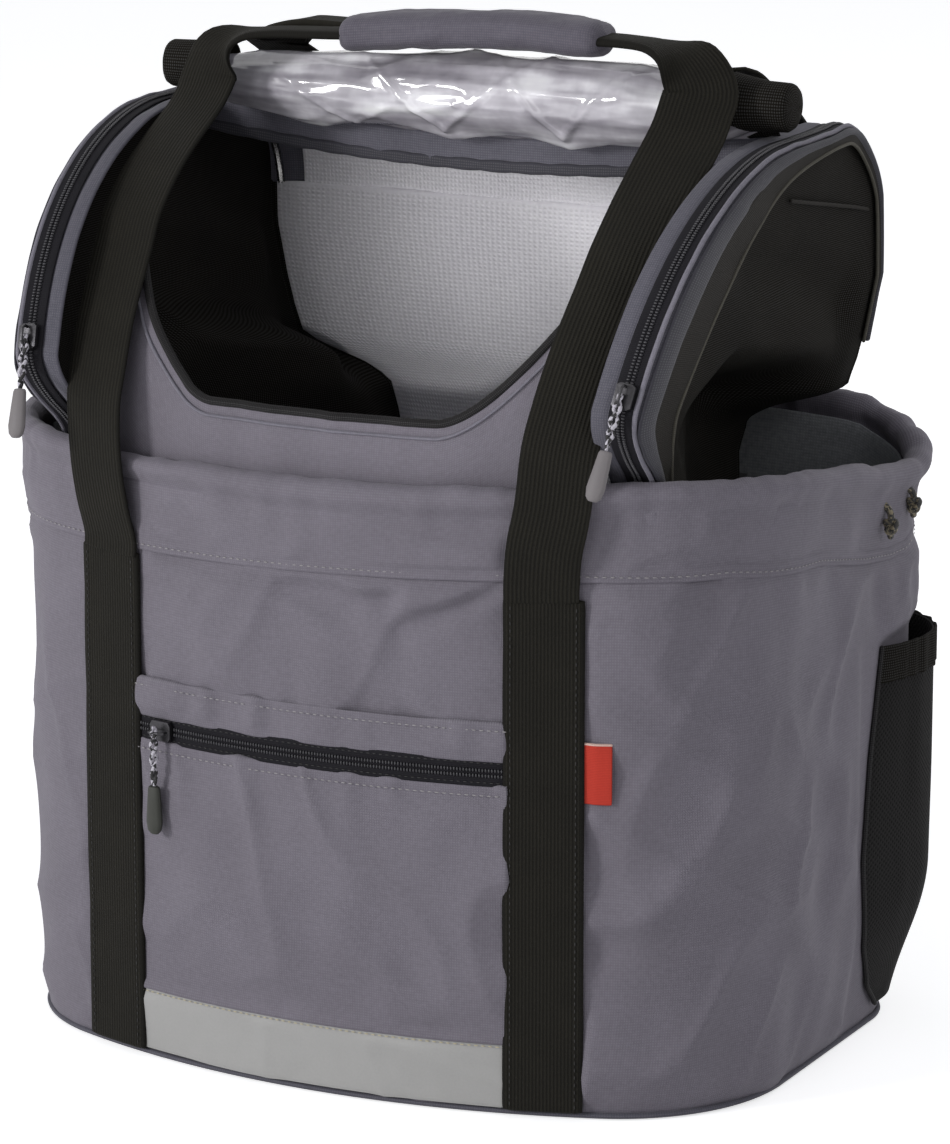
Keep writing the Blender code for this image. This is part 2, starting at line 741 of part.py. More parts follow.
def slider(name, place, along, across, out, origin):
    """Slider body with its bail as one solid: a plate with an arch on it."""
    half_l, half_w = SLIDER_LENGTH / 2, SLIDER_WIDTH / 2
    arch_l = half_l * BAIL_SPAN_SHARE
    bar = BAIL_BAR / 2
    top = SLIDER_THICK + BAIL_RISE
    place, along, across, out = (Vector(q) for q in (place, along, across, out))

    def at(l, w, o):
        return tuple(place + along * l + across * w + out * o)

    points, faces = [], []
    body = [at(l * k, half_w * w, o) for w, k in SLIDER_OUTLINE_SHARES
            for l, o in ((-half_l, 0.0), (half_l, 0.0), (half_l, SLIDER_THICK),
                         (-half_l, SLIDER_THICK))]
    for i in range(3):
        for j in range(4):
            n = (j + 1) % 4
            faces += split(i * 4 + j, i * 4 + n, i * 4 + 4 + n, i * 4 + 4 + j)
    faces += split(0, 1, 2, 3) + split(12, 13, 14, 15)
    points += body
    made = make(name, points, faces, "metal", origin)
    arch_path = [(arch_l - bar, SLIDER_THICK / 2), (arch_l - bar, top - BAIL_BAR * 1.5),
                 (arch_l - bar * 3, top - bar), (bar * 3 - arch_l, top - bar),
                 (bar - arch_l, top - BAIL_BAR * 1.5), (bar - arch_l, SLIDER_THICK / 2)]
    bail = tube(name + "_bail", [at(l, 0.0, o) for l, o in arch_path], bar, "metal",
                sides=6, origin=origin)
    union(made, bail)
    return made


BAIL_SPAN_SHARE = 0.86
SLIDER_OUTLINE_SHARES = ((-1.0, 0.8), (-0.6, 1.0), (0.6, 1.0), (1.0, 0.8))


def apply_boolean(target, tool, kind):
    step = target.modifiers.new("cut", "BOOLEAN")
    step.operation = kind
    step.solver = "EXACT"
    step.object = tool
    bpy.context.view_layer.update()
    graph = bpy.context.evaluated_depsgraph_get()
    done = bpy.data.meshes.new_from_object(target.evaluated_get(graph))
    work = bmesh.new()
    work.from_mesh(done)
    bmesh.ops.triangulate(work, faces=work.faces, ngon_method="EAR_CLIP")
    work.to_mesh(done)
    work.free()
    target.modifiers.remove(step)
    old = target.data
    target.data = done
    bpy.data.meshes.remove(old)
    bpy.data.objects.remove(tool, do_unlink=True)


def union(target, tool):
    apply_boolean(target, tool, "UNION")


def cut(target, tool):
    apply_boolean(target, tool, "DIFFERENCE")


def pull(name, hinge, drop, spread, out, tip_look, around_bar):
    """Cord loop and tip hanging from a slider.  hinge is the pivot; drop, spread
    and out are unit directions; the tip hangs along drop."""
    hinge, drop, spread, out = (Vector(q) for q in (hinge, drop, spread, out))
    bend = BAIL_BAR / 2 + GAP + PULL_CORD_RADIUS
    path = []
    if around_bar:
        # over the bar in the plane of drop and out
        for share in LOOP_DROP_SHARES:
            path.append(hinge + drop * PULL_CORD_DROP * share + out * bend)
        for k in range(1, 6):
            angle = math.pi * k / 6
            path.append(hinge + out * bend * math.cos(angle) - drop * bend * math.sin(angle))
        for share in reversed(LOOP_DROP_SHARES):
            path.append(hinge + drop * PULL_CORD_DROP * share - out * bend)
    else:
        half = PULL_SPREAD / 2 + PULL_CORD_RADIUS
        for share in LOOP_DROP_SHARES:
            path.append(hinge + drop * PULL_CORD_DROP * share + spread * half)
        for angle in (math.pi / 6, math.pi / 3):
            path.append(hinge + spread * (half - bend + bend * math.cos(angle))
                        + drop * bend * (1 - math.sin(angle)))
        path.append(hinge + spread * (half - bend))
        path.append(hinge - spread * (half - bend))
        for angle in (math.pi / 3, math.pi / 6):
            path.append(hinge - spread * (half - bend + bend * math.cos(angle))
                        + drop * bend * (1 - math.sin(angle)))
        for share in reversed(LOOP_DROP_SHARES):
            path.append(hinge + drop * PULL_CORD_DROP * share - spread * half)
    tube(name + "_cord", path, PULL_CORD_RADIUS, "cord", sides=6, origin=hinge)
    top = PULL_CORD_DROP + GAP
    rings = []
    for along_share, wide_share in TIP_SHARES:
        centre = hinge + drop * (top + TIP_LENGTH * along_share)
        rings.append([tuple(centre + spread * a * TIP_WIDTH / 2 * wide_share
                            + out * b * TIP_THICK / 2 * min(1.0, wide_share * 1.15))
                      for a, b in circle(1.0, 10)])
    loft(name + "_tip", rings, tip_look, origin=hinge)


LOOP_DROP_SHARES = (1.0, 0.75, 0.5, 0.25)
TIP_SHARES = ((0.0, 0.62), (0.06, 0.74), (0.4, 0.86), (0.75, 1.0), (0.92, 0.82),
              (1.0, 0.45))


def front_zip():
    angle = -math.asin(SLIDER_PARK_X / FRONT_RADIUS)
    centre_y = FRONT_RADIUS - FRONT_REACH
    base = GAP + TAPE_THICK + GAP
    radius = FRONT_RADIUS + base
    place = (radius * math.sin(angle), centre_y - radius * math.cos(angle), ZIP_HEIGHT)
    out = (math.sin(angle), -math.cos(angle), 0.0)
    along = (math.cos(angle), math.sin(angle), 0.0)
    slider("front_zip_slider", place, along, (0, 0, 1), out, (0, centre_y, ZIP_HEIGHT))
    bar = SLIDER_THICK + BAIL_RISE - BAIL_BAR / 2
    hinge = Vector(place) + Vector(out) * bar
    pull("front_zip_pull", hinge, (0, 0, -1), along, out, "rubber_black", True)


# Hood

TUCK_SHARES = ((0.0, -0.84), (0.0, -0.3), (0.02, 0.0), (0.22, 0.22), (0.62, 0.50),
               (0.90, 0.76))


def profile_line():
    """The hood's profile as (y, z) from the foot of the band up and over to the
    back wall's foot."""
    start = math.asin((TUCK_TOP_Z - ARC_Z) / ARC_RISE)
    arc_y = ARC_Y - ARC_RADIUS * math.cos(start)
    line = [(blend(-TUCK_Y, arc_y, a), TUCK_Z + (TUCK_TOP_Z - TUCK_Z) * b)
            for a, b in TUCK_SHARES]
    for k in range(11):
        angle = blend(start, math.pi / 2, k / 10)
        line.append((ARC_Y - ARC_RADIUS * math.cos(angle),
                     ARC_Z + ARC_RISE * math.sin(angle)))
    top = HOOD_TOP
    centre_y = HOOD_BACK_Y - HOOD_CORNER
    line.append((blend(ARC_Y, centre_y, 0.5), top))
    for k in range(9):
        angle = math.pi / 2 * k / 8
        line.append((centre_y + HOOD_CORNER * math.sin(angle),
                     top - HOOD_CORNER + HOOD_CORNER * math.cos(angle)))
    line.append((HOOD_BACK_Y, top - HOOD_CORNER - BAND_TAIL))
    return line


def normals(line):
    """Outward unit normal of each point of the profile."""
    found = []
    for k in range(len(line)):
        a, b = line[max(k - 1, 0)], line[min(k + 1, len(line) - 1)]
        dy, dz = b[0] - a[0], b[1] - a[1]
        size = math.hypot(dy, dz)
        found.append((-dz / size, dy / size))
    return found


def lean_x(z):
    """Middle of the side zip: the hood's sides lean outwards as they rise."""
    return BAND_X_FOOT + BAND_LEAN * z


def band_slab(name, columns, line, look, left):
    """Strip along the profile; each column is (x from the zip's middle, offset
    outwards, x step to the inner face, offset step to the inner face)."""
    across = normals(line)
    outer, inner = [], []
    for (y, z), (ny, nz) in zip(line, across):
        for rows, deep in ((outer, 0.0), (inner, 1.0)):
            rows.append(flip([(lean_x(z) + x + deep * dx, y + ny * (off + deep * do),
                               z + nz * (off + deep * do))
                              for x, off, dx, do in columns], left))
    return slab(name, outer, inner, look)


def hood_bands():
    line = profile_line()
    across = normals(line)
    band = ((-BAND_INNER, -BAND_RETURN, BAND_THICK, 0.0),
            (-BAND_INNER, 0.0, BAND_THICK, -BAND_THICK),
            (0.0, 0.0, 0.0, -BAND_THICK), (BAND_OUTER, 0.0, 0.0, -BAND_THICK))
    half = HOOD_TAPE_WIDTH / 2
    tape = ((-half, GAP + TAPE_THICK, 0.0, -TAPE_THICK), (half, GAP + TAPE_THICK, 0.0, -TAPE_THICK))
    for left in (False, True):
        tag = "left" if left else "right"
        band_slab("hood_band_" + tag, band, line, "grey_fabric", left)
        band_slab("side_zip_tape_" + tag, tape, line[5:], "zip", left)
        depth = BAND_THICK + GAP + HOOP_RADIUS
        path = [(lean_x(z), y - ny * depth, z - nz * depth)
                for (y, z), (ny, nz) in zip(line, across)]
        tube("hood_hoop_" + tag, flip(path, left), HOOP_RADIUS, "steel", sides=6)
        outer, inner = [], []
        for (ya, za), (yb, zb) in zip(BINDING_OUTER_SHARES, BINDING_INNER_SHARES):
            edge = [(ARC_Y + (ARC_RADIUS if y < 0 else HOOD_BACK_Y - ARC_Y) * y,
                     ARC_Z + ARC_RISE * z)
                    for y, z in ((ya, za), ((ya + yb) / 2, (za + zb) / 2), (yb, zb))]
            side = BAND_OUTER + GAP
            outer.append(flip([(lean_x(z) + side + BINDING_THICK, y, z) for y, z in edge],
                              left))
            inner.append(flip([(lean_x(z) + side, y, z) for y, z in edge], left))
        slab("hood_binding_" + tag, outer, inner, "webbing")


# Edges of the black binding on the hood's side, from the arc's centre
BINDING_OUTER_SHARES = ((-0.73, 0.068), (-0.80, 0.13), (-0.90, 0.215), (-0.945, 0.33),
                        (-0.766, 0.643), (-0.50, 0.866), (-0.174, 0.985), (0.388, 1.0),
                        (0.600, 0.998), (0.790, 0.950), (0.952, 0.815), (1.003, 0.56),
                        (1.013, 0.27))
BINDING_INNER_SHARES = ((-0.64, 0.068), (-0.63, 0.15), (-0.60, 0.24), (-0.53, 0.33),
                        (-0.30, 0.56), (-0.15, 0.72), (0.027, 0.83), (0.388, 0.895),
                        (0.560, 0.890), (0.700, 0.845), (0.835, 0.71), (0.889, 0.50),
                        (0.909, 0.27))


def wall_x(front_share_, z):
    """Inner face of the side wall: straight above, drawn in at the rear beside the
    pocket, and splayed again down to the base."""
    upper = lean_x(z) + BAND_OUTER
    fold = smooth((POCKET_FOLD_TOP - z) / (POCKET_FOLD_TOP - POCKET_FOLD_LOW))
    rear = smooth(front_share_ * 1.15)
    splay = smooth((POCKET_FOLD_LOW - z) / POCKET_FOLD_LOW)
    top_x = lean_x(max(z, TUCK_Z)) + BAND_OUTER
    drawn = top_x - POCKET_DEPTH * rear * fold
    return drawn + BASE_SPLAY * splay * rear


WALL_ROW_SHARES = (0.0, 0.05, 0.15, 0.4, 0.65, 0.85, 0.955, 1.0)
WALL_COLUMN_SHARES = (0.0, 0.12, 0.26, 0.42, 0.58, 0.74, 0.88, 1.0)
HOOD_ROW_SHARES = (0.09, 0.18, 0.27, 0.36, 0.47, 0.58, 0.69, 0.79, 0.88, 0.94, 0.975)


def front_y(z, inset):
    """Front edge of the side wall at a height, inside the band."""
    if z <= TUCK_Z:
        return -WALL_FRONT_Y
    line = profile_line()[2:17]
    across = normals(line)
    deep = [(y - ny * inset, q - nz * inset) for (y, q), (ny, nz) in zip(line, across)]
    for a, b in zip(deep, deep[1:]):
        if a[1] <= z <= b[1]:
            return blend(a[0], b[0], (z - a[1]) / (b[1] - a[1]))
    return -WALL_FRONT_Y if z < deep[0][1] else deep[-1][0]


def rear_y(z, inset):
    """Rear edge of the side wall at a height."""
    top = HOOD_TOP - HOOD_CORNER
    edge = HOOD_BACK_Y - inset
    if z <= top:
        return edge
    drop = min((z - top) / (HOOD_CORNER - inset), 1.0)
    return edge - (HOOD_CORNER - inset) * (1 - math.sqrt(1 - drop * drop))


def rear_wall_y(z):
    """Back face of the cabin's back wall: it follows the shell's rounded foot."""
    return min(HOOD_BACK_Y, back_reach(z) - PANEL - 2 * GAP)


def side_walls():
    inset = BAND_THICK + GAP
    top = HOOD_TOP - inset - GAP
    zs = [blend(SIDE_WALL_FOOT, TUCK_Z, s) for s in WALL_ROW_SHARES]
    zs += [blend(TUCK_Z, top, s) for s in HOOD_ROW_SHARES]

    def grid(extra):
        rows = []
        for z in zs:
            near, far = front_y(z, inset), rear_y(z, BACK_WALL + GAP * 2)
            if z < TUCK_Z:
                far = rear_wall_y(z) - BACK_WALL - GAP * 2
            rows.append([(wall_x(s, z) + extra, blend(near, far, s), z)
                         for s in WALL_COLUMN_SHARES])
        return rows
    for left in (False, True):
        tag = "left" if left else "right"
        outer = [flip(row, left) for row in grid(0.0)]
        inner = [flip(row, left) for row in grid(-SIDE_WALL)]
        slab("hood_side_wall_" + tag, outer, inner, "black_fabric")


def back_wall():
    top = HOOD_TOP - HOOD_CORNER - BAND_TAIL - GAP
    zs = [blend(SIDE_WALL_FOOT, TUCK_Z, s) for s in WALL_ROW_SHARES]
    zs += [blend(TUCK_Z, top, s) for s in BACK_ROW_SHARES]

    def grid(off):
        return [[(wall_x(1.0, z) * s, rear_wall_y(z) - off, z)
                 for s in (-1.0, -0.5, 0.0, 0.5, 1.0)] for z in zs]
    slab("hood_back_wall", grid(0.0), grid(BACK_WALL), "light_lining")


BACK_ROW_SHARES = (0.12, 0.24, 0.36, 0.6, 0.8, 1.0)
ROOF_WIDE_SHARES = (-1.0, -0.75, -0.5, -0.25, 0.0, 0.25, 0.5, 0.75, 1.0)


def roof():
    top = HOOD_TOP
    centre_y = HOOD_BACK_Y - HOOD_CORNER
    line = [(blend(ROOF_FRONT_Y, centre_y, s), top, s) for s in (0.0, 0.33, 0.66)]
    for k in range(5):
        angle = math.pi / 2 * k / 4
        line.append((centre_y + HOOD_CORNER * math.sin(angle),
                     top - HOOD_CORNER + HOOD_CORNER * math.cos(angle), 1.0))
    line.append((HOOD_BACK_Y, top - HOOD_CORNER - BAND_TAIL, 1.0))
    across = normals([(y, z) for y, z, s in line])

    def grid(off):
        rows = []
        for (y, z, s), (ny, nz) in zip(line, across):
            half = lean_x(z) - BAND_INNER - GAP
            rows.append([(half * w, y + ny * off,
                          z + nz * off - ROOF_SAG * (1 - w * w) * (1 - smooth(s)))
                         for w in ROOF_WIDE_SHARES])
        return rows
    slab("hood_roof", grid(0.0), grid(-ROOF_SKIN), "grey_fabric")
    y = ROOF_FRONT_Y - GAP
    half = lean_x(top) - BAND_INNER - GAP

    def edge(y_, depth):
        return [(half * w, y_, top - ROOF_SAG * (1 - w * w) - depth)
                for w in ROOF_WIDE_SHARES]
    slab("roof_front_band", [edge(y - ROOF_SKIN, 0.0), edge(y - ROOF_SKIN, ROOF_BAND)],
         [edge(y, 0.0), edge(y, ROOF_BAND)], "grey_fabric")


def bib_y(x, z, off):
    """Front of the hood's lower panel: inside the shell, then leaning back."""
    place = front_at(x, z, -PANEL - BIB_CLEAR + off)
    share = max(0.0, (z - BIB_LEAN_Z) / (BIB_HIGH - BIB_LEAN_Z))
    return (place[0], place[1] + BIB_LEAN * share ** BIB_LEAN_POWER, z)


def bib():
    xs = steps(-BIB_HALF, BIB_HALF, 2 * COLUMN)
    tops = []
    for x in xs:
        share = max(0.0, (abs(x) - BIB_FLAT) / (BIB_HALF - BIB_FLAT))
        tops.append(blend(BIB_LOW, BIB_HIGH, share ** BIB_EDGE_POWER))

    def grid(off):
        rows = []
        for s in BIB_ROW_SHARES:
            rows.append([bib_y(x, blend(BIB_FOOT, top, s), off)
                         for x, top in zip(xs, tops)])
        return rows
    slab("hood_bib", grid(0.0), grid(-BIB_SKIN), "grey_fabric")


BIB_ROW_SHARES = (0.0, 0.35, 0.6, 0.75, 0.88, 1.0)
BIB_LEAN_POWER = 1.6
BIB_EDGE_POWER = 1.7


def window_roll():
    """The clear front flap, rolled up along its length as one unbroken sheet."""
    count = ROLL_POINTS
    under = 1 - 0.5 / (ROLL_TURNS * ROLL_TIGHT)
    rest = HOOD_TOP + 2 * GAP + TAPE_THICK + ROLL_RADIUS_END * under
    half = lean_x(HOOD_TOP) - ROLL_INSET
    rings = []
    for share in ROLL_STATION_SHARES:
        fade = smooth((abs(share) - ROLL_NECK) / (1 - ROLL_NECK))
        radius = blend(ROLL_RADIUS_MIDDLE, ROLL_RADIUS_END, fade)
        z = blend(rest + ROLL_LIFT, rest, fade)
        ring, back = [], []
        for k in range(count + 1):
            turn = ROLL_TURNS * k / count
            angle = math.tau * turn + math.pi / 2
            inside = 1 - turn / (ROLL_TURNS * ROLL_TIGHT)
            far = radius * inside
            near = far - ROLL_SHEET
            ring.append((half * share, ROLL_Y + far * math.cos(angle),
                         z + far * math.sin(angle)))
            back.append((half * share, ROLL_Y + near * math.cos(angle),
                         z + near * math.sin(angle)))
        rings.append(ring + back[::-1])
    slab_rings("window_flap_roll", rings, count + 1, "clear")


ROLL_STATION_SHARES = (-1.0, -0.9, -0.8, -0.6, -0.3, 0.0, 0.3, 0.6, 0.8, 0.9, 1.0)
ROLL_POINTS = 27
ROLL_TIGHT = 1.35
ROLL_NECK = 0.5


def slab_rings(name, rings, size, look):
    """Closed solid from rings made of an outer run and its inner run reversed."""
    outer = [ring[:size] for ring in rings]
    inner = [ring[size:][::-1] for ring in rings]
    return slab(name, outer, inner, look)


def mesh_pockets():
    columns = [(2, MESH_START_SHARE), (2, 0.86)] + [(3, k / 6) for k in range(7)]
    low = [z for z in panel_rows(BASE_SKIN + GAP, SHELL_TOP) if MESH_FOOT < z < MESH_TOP]
    rows = low + [blend(low[-1], MESH_TOP, s) for s in (0.5, 1.0)]
    for left in (False, True):
        def grid(extra):
            found = []
            for z in rows:
                stand = MESH_STAND_OFF * smooth((z - MESH_FOOT) / (MESH_TOP - MESH_FOOT))
                line = []
                for k, (seg, share) in enumerate(columns):
                    swell = math.sin(math.pi * k / len(columns))
                    line.append(shell(seg, share, z, GAP + extra + stand * swell))
                end = back_share(STRAP_X + WEBBING / 2 + GAP, z)
                line.append(shell(4, end, z, GAP + extra))
                found.append(flip(line, left))
            return found
        tag = "left" if left else "right"
        slab("mesh_pocket_" + tag, grid(MESH_SKIN), grid(0.0), "mesh")


MESH_START_SHARE = 0.73


def block(name, low, high, look, origin=(0, 0, 0)):
    (x0, y0, z0), (x1, y1, z1) = low, high
    return slab(name, [[(x0, y1, z0), (x1, y1, z0)], [(x0, y1, z1), (x1, y1, z1)]],
                [[(x0, y0, z0), (x1, y0, z0)], [(x0, y0, z1), (x1, y0, z1)]], look, origin)


def rod(name, y_from, y_to, x, z, radius, look):
    """Cutting cylinder along Y."""
    return loft(name, [[(x + a, y, z + b) for a, b in circle(radius, 16)]
                       for y in (y_from, y_to)], look)


def back_plate():
    face = BACK_REACH + GAP
    half = STIFFENER_HALF
    stiffener = block("back_stiffener", (-half, HOOD_BACK_Y + GAP, STIFFENER_FOOT),
                      (half, BACK_REACH - PANEL - GAP, STIFFENER_TOP), "board")
    out = face + PLATE_THICK
    reach, lip = out + HOOK_REACH, out + HOOK_REACH + HOOK_LIP
    side = [(face, PLATE_FOOT), (out, PLATE_FOOT), (out, PLATE_TOP - HOOK_ROOF),
            (reach, PLATE_TOP - HOOK_ROOF), (reach, PLATE_TOP - HOOK_DROP),
            (lip, PLATE_TOP - HOOK_DROP), (lip, PLATE_TOP), (face, PLATE_TOP)]
    half = PLATE_WIDTH / 2
    plate = loft("adapter_plate", [[(x, y, z) for y, z in side] for x in (-half, half)],
                 "plastic")
    hollow = BUTTON_WIDTH / 2 + GAP
    notch = block("notch", (-hollow, face + BUTTON_BACK - GAP, PLATE_FOOT - BUTTON_TRAVEL),
                  (hollow, lip, PLATE_FOOT + BUTTON_HEIGHT + BUTTON_TRAVEL + GAP), "plastic")
    cut(plate, notch)
    back = bpy.data.objects["back_panel"]
    for x, tag in ((SCREW_X, "right"), (-SCREW_X, "left")):
        for z, level in ((SCREW_LOW, "lower"), (SCREW_HIGH, "upper")):
            deep = HOOD_BACK_Y + GAP
            for target in (plate, back, stiffener):
                cut(target, rod("hole", deep - PANEL, lip, x, z,
                                SCREW_RADIUS + SCREW_CLEAR, "steel"))
            seat = out - SCREW_HEAD - 2 * GAP
            cut(plate, rod("sink", seat, lip, x, z, SCREW_HEAD_RADIUS + SCREW_CLEAR, "steel"))
            top = seat + GAP
            rings = []
            for y, radius in ((deep, SCREW_RADIUS), (top, SCREW_RADIUS),
                              (top, SCREW_HEAD_RADIUS),
                              (top + SCREW_HEAD * 0.6, SCREW_HEAD_RADIUS),
                              (top + SCREW_HEAD, SCREW_HEAD_RADIUS * 0.7)):
                rings.append([(x + a, y, z + b) for a, b in circle(radius, 16)])
            loft("adapter_screw_" + level + "_" + tag, rings, "steel")
    half = BUTTON_WIDTH / 2
    block("release_button", (-half, face + BUTTON_BACK, PLATE_FOOT),
          (half, out + BUTTON_PROUD, PLATE_FOOT + BUTTON_HEIGHT), "red",
          origin=(0, face + BUTTON_BACK, PLATE_FOOT))


BUTTON_BACK = 0.0020


def leash():
    y = HOOD_BACK_Y - BACK_WALL - GAP - LEASH_THICK / 2
    top = LEASH_TOP
    low = top - LEASH_LENGTH
    half = LEASH_WIDTH / 2
    block("leash_strap", (-half, y - LEASH_THICK / 2, low), (half, y + LEASH_THICK / 2, top),
          "webbing", origin=(0, y, top))
    rod_y = HOOD_BACK_Y - BACK_WALL - GAP - SNAP_ROD / 2
    path = [(SNAP_WIDTH * a, rod_y, low - GAP - SNAP_LENGTH * b) for a, b in SNAP_SHARES]
    tube("snap_hook", path, SNAP_ROD / 2, "steel", sides=8, origin=(0, y, top))
    path = [(SNAP_WIDTH * a, rod_y, low - GAP - SNAP_LENGTH * b) for a, b in GATE_SHARES]
    tube("snap_gate", path, SNAP_ROD / 2 * GATE_SLIM, "steel", sides=6, origin=path[0])


SNAP_SHARES = ((0.0, 0.0), (0.0, 0.16), (0.18, 0.28), (0.42, 0.42), (0.5, 0.6),
               (0.44, 0.8), (0.2, 0.95), (-0.1, 0.98), (-0.34, 0.86))
GATE_SHARES = ((-0.18, 0.22), (-0.3, 0.45), (-0.38, 0.72))
GATE_SLIM = 0.8


def side_zip_frame(left):
    """Slider's parked place, travel direction, width direction, outward one and
    the centre of its arc."""
    start = math.asin((SIDE_SLIDER_Z - ARC_Z) / ARC_RISE)
    side = -1 if left else 1
    up = Vector((LEAN_SIN * side, 0, LEAN_COS))
    across = Vector((LEAN_COS * side, 0, -LEAN_SIN))
    back = Vector((0, 1, 0))
    centre = Vector((lean_x(ARC_Z) * side, ARC_Y, ARC_Z))
    out = up * math.sin(start) - back * math.cos(start)
    along = up * math.cos(start) + back * math.sin(start)
    place = centre + out * (ARC_RADIUS + 3 * GAP + TAPE_THICK)
    return place, along, across, out, centre


def side_zips():
    for left in (False, True):
        tag = "left" if left else "right"
        place, along, across, out, centre = side_zip_frame(left)
        slider("side_zip_slider_" + tag, place, along, across, out, tuple(centre))
        hinge = place + out * (SLIDER_THICK + (BAIL_RISE - BAIL_BAR) / 2)
        pull("side_zip_pull_" + tag, hinge, -along, across, out, "rubber_grey", False)


def main():
    for old in list(bpy.data.objects):
        bpy.data.objects.remove(old, do_unlink=True)
    shell_panels()
    base_pieces()
    rim_pieces()
    sewn_straps()
    handles()
    front_trim()
    front_zip()
    hood_bands()
    side_walls()
    back_wall()
    roof()
    bib()
    window_roll()
    side_zips()
    mesh_pockets()
    back_plate()
    leash()
    cushion()


main()
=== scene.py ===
"""Looks of the bicycle pet basket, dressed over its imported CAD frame.

Metres, +Z up, front faces -Y.  Every cloth piece is laid on the same shell and
hood surfaces as its CAD node, as a fine grid with its own folds.
"""
import math

import bmesh
import bpy
import numpy as np
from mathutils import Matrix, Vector


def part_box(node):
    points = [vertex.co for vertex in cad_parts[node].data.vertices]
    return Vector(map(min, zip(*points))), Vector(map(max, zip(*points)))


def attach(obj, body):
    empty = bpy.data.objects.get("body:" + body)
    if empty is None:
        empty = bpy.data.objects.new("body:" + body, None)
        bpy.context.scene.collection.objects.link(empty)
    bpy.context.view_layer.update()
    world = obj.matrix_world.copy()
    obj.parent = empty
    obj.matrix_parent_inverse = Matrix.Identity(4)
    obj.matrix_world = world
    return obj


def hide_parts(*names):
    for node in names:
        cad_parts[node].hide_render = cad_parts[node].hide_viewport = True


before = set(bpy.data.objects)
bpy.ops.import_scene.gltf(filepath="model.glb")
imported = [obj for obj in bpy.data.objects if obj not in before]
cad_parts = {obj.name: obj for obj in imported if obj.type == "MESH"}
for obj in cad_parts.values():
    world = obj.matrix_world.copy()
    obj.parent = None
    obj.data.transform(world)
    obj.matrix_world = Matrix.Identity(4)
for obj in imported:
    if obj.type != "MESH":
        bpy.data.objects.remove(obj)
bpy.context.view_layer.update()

# Sizes shared with the CAD part
SHIFT_Y = -0.005425
HALF_BASE, HALF_BELLY, HALF_RIM = 0.1750, 0.1785, 0.1835
BELLY_Z, FLARE_Z, RIM_Z = 0.060, 0.205, 0.2655
FRONT_REACH, FRONT_RADIUS, CORNER_RADIUS = 0.1305, 0.3520, 0.0775
BACK_REACH, BACK_BASE, BACK_ROUND, BACK_CORNER = 0.1210, 0.1000, 0.0500, 0.0400
PANEL, GAP = 0.0025, 0.0003
STRAP_X, LOOP_X, WEBBING, STRAP_THICK = 0.1020, 0.1095, 0.0300, 0.0016
SEWN_TOP, LOOP_TOP = 0.2220, 0.4360
BULB = 0.0042
HEM_Z = 0.2262
ARC_RADIUS, ARC_Y, ARC_Z = 0.1370, 0.0100, 0.2585
HOOD_BACK_Y, HOOD_CORNER = 0.1125, 0.0450
BAND_X_FOOT, LEAN = 0.1023, 0.12
LEAN_COS = 1 / math.sqrt(1 + LEAN * LEAN)
ARC_RISE = ARC_RADIUS * LEAN_COS
TUCK_Z, TUCK_Y, TUCK_TOP_Z = 0.2660, 0.0900, 0.3030
ZIP_Z = 0.1480
MM = 0.001
SHARP, SHARP_HARD = 60, 35  # degrees from which an edge of cloth or of hard stock isn't smoothed
SIDES = ((False, 1, "right"), (True, -1, "left"))


def smooth(t):
    t = np.clip(t, 0.0, 1.0)
    return t * t * (3 - 2 * t)


def blend(a, b, t):
    return a + (b - a) * t


def hashed(i, j, seed):
    v = np.sin(i * 127.1 + j * 311.7 + seed * 74.7) * 43758.5453
    return v - np.floor(v)


def noise(x, y, seed=0):
    """Smooth value noise from -1 to 1."""
    x, y = np.asarray(x, float), np.asarray(y, float)
    i, j = np.floor(x), np.floor(y)
    u, v = smooth(x - i), smooth(y - j)
    low = blend(hashed(i, j, seed), hashed(i + 1, j, seed), u)
    high = blend(hashed(i, j + 1, seed), hashed(i + 1, j + 1, seed), u)
    return 2 * blend(low, high, v) - 1


def crease(x, y, seed=0):
    """Soft cloth with sharp crests, from 0 to 1."""
    return (1 - np.abs(noise(x, y, seed))) ** 3


def unit(v):
    v = np.asarray(v, float)
    return v / np.maximum(np.linalg.norm(v, axis=-1, keepdims=True), 1e-12)


def points_at(x, y, z):
    return np.stack(np.broadcast_arrays(x, y, z), -1)


def squircle(turn, power):
    """Unit circle pushed out towards the corners of its square."""
    c, s = np.cos(turn), np.sin(turn)
    far = (np.abs(c) ** power + np.abs(s) ** power) ** (-1 / power)
    return c * far, s * far


def lengths(grid, axis=0):
    """Distance from each point to the next one along an axis."""
    return np.linalg.norm(np.diff(grid, axis=axis), axis=-1)


def summed(steps):
    """Running total of steps, from zero."""
    return np.concatenate([[0], np.cumsum(steps)])


def span(low, high, step):
    return np.linspace(low, high, max(2, int(round((high - low) / step)) + 1))


def spline(points, step):
    """Evenly spaced points on a smooth curve through the given rows of numbers."""
    p = np.asarray(points, float)
    p = np.concatenate([[2 * p[0] - p[1]], p, [2 * p[-1] - p[-2]]])
    t = np.linspace(0, 1, 24, endpoint=False)[:, None]
    fine = [0.5 * (2 * b + (c - a) * t + (2 * a - 5 * b + 4 * c - d) * t ** 2
                   + (3 * b - a - 3 * c + d) * t ** 3)
            for a, b, c, d in zip(p, p[1:], p[2:], p[3:])]
    fine = np.concatenate(fine + [p[-2:-1]])
    along = summed(lengths(fine[:, :3]))
    where = span(0, along[-1], step)
    return np.stack([np.interp(where, along, column) for column in fine.T], 1)


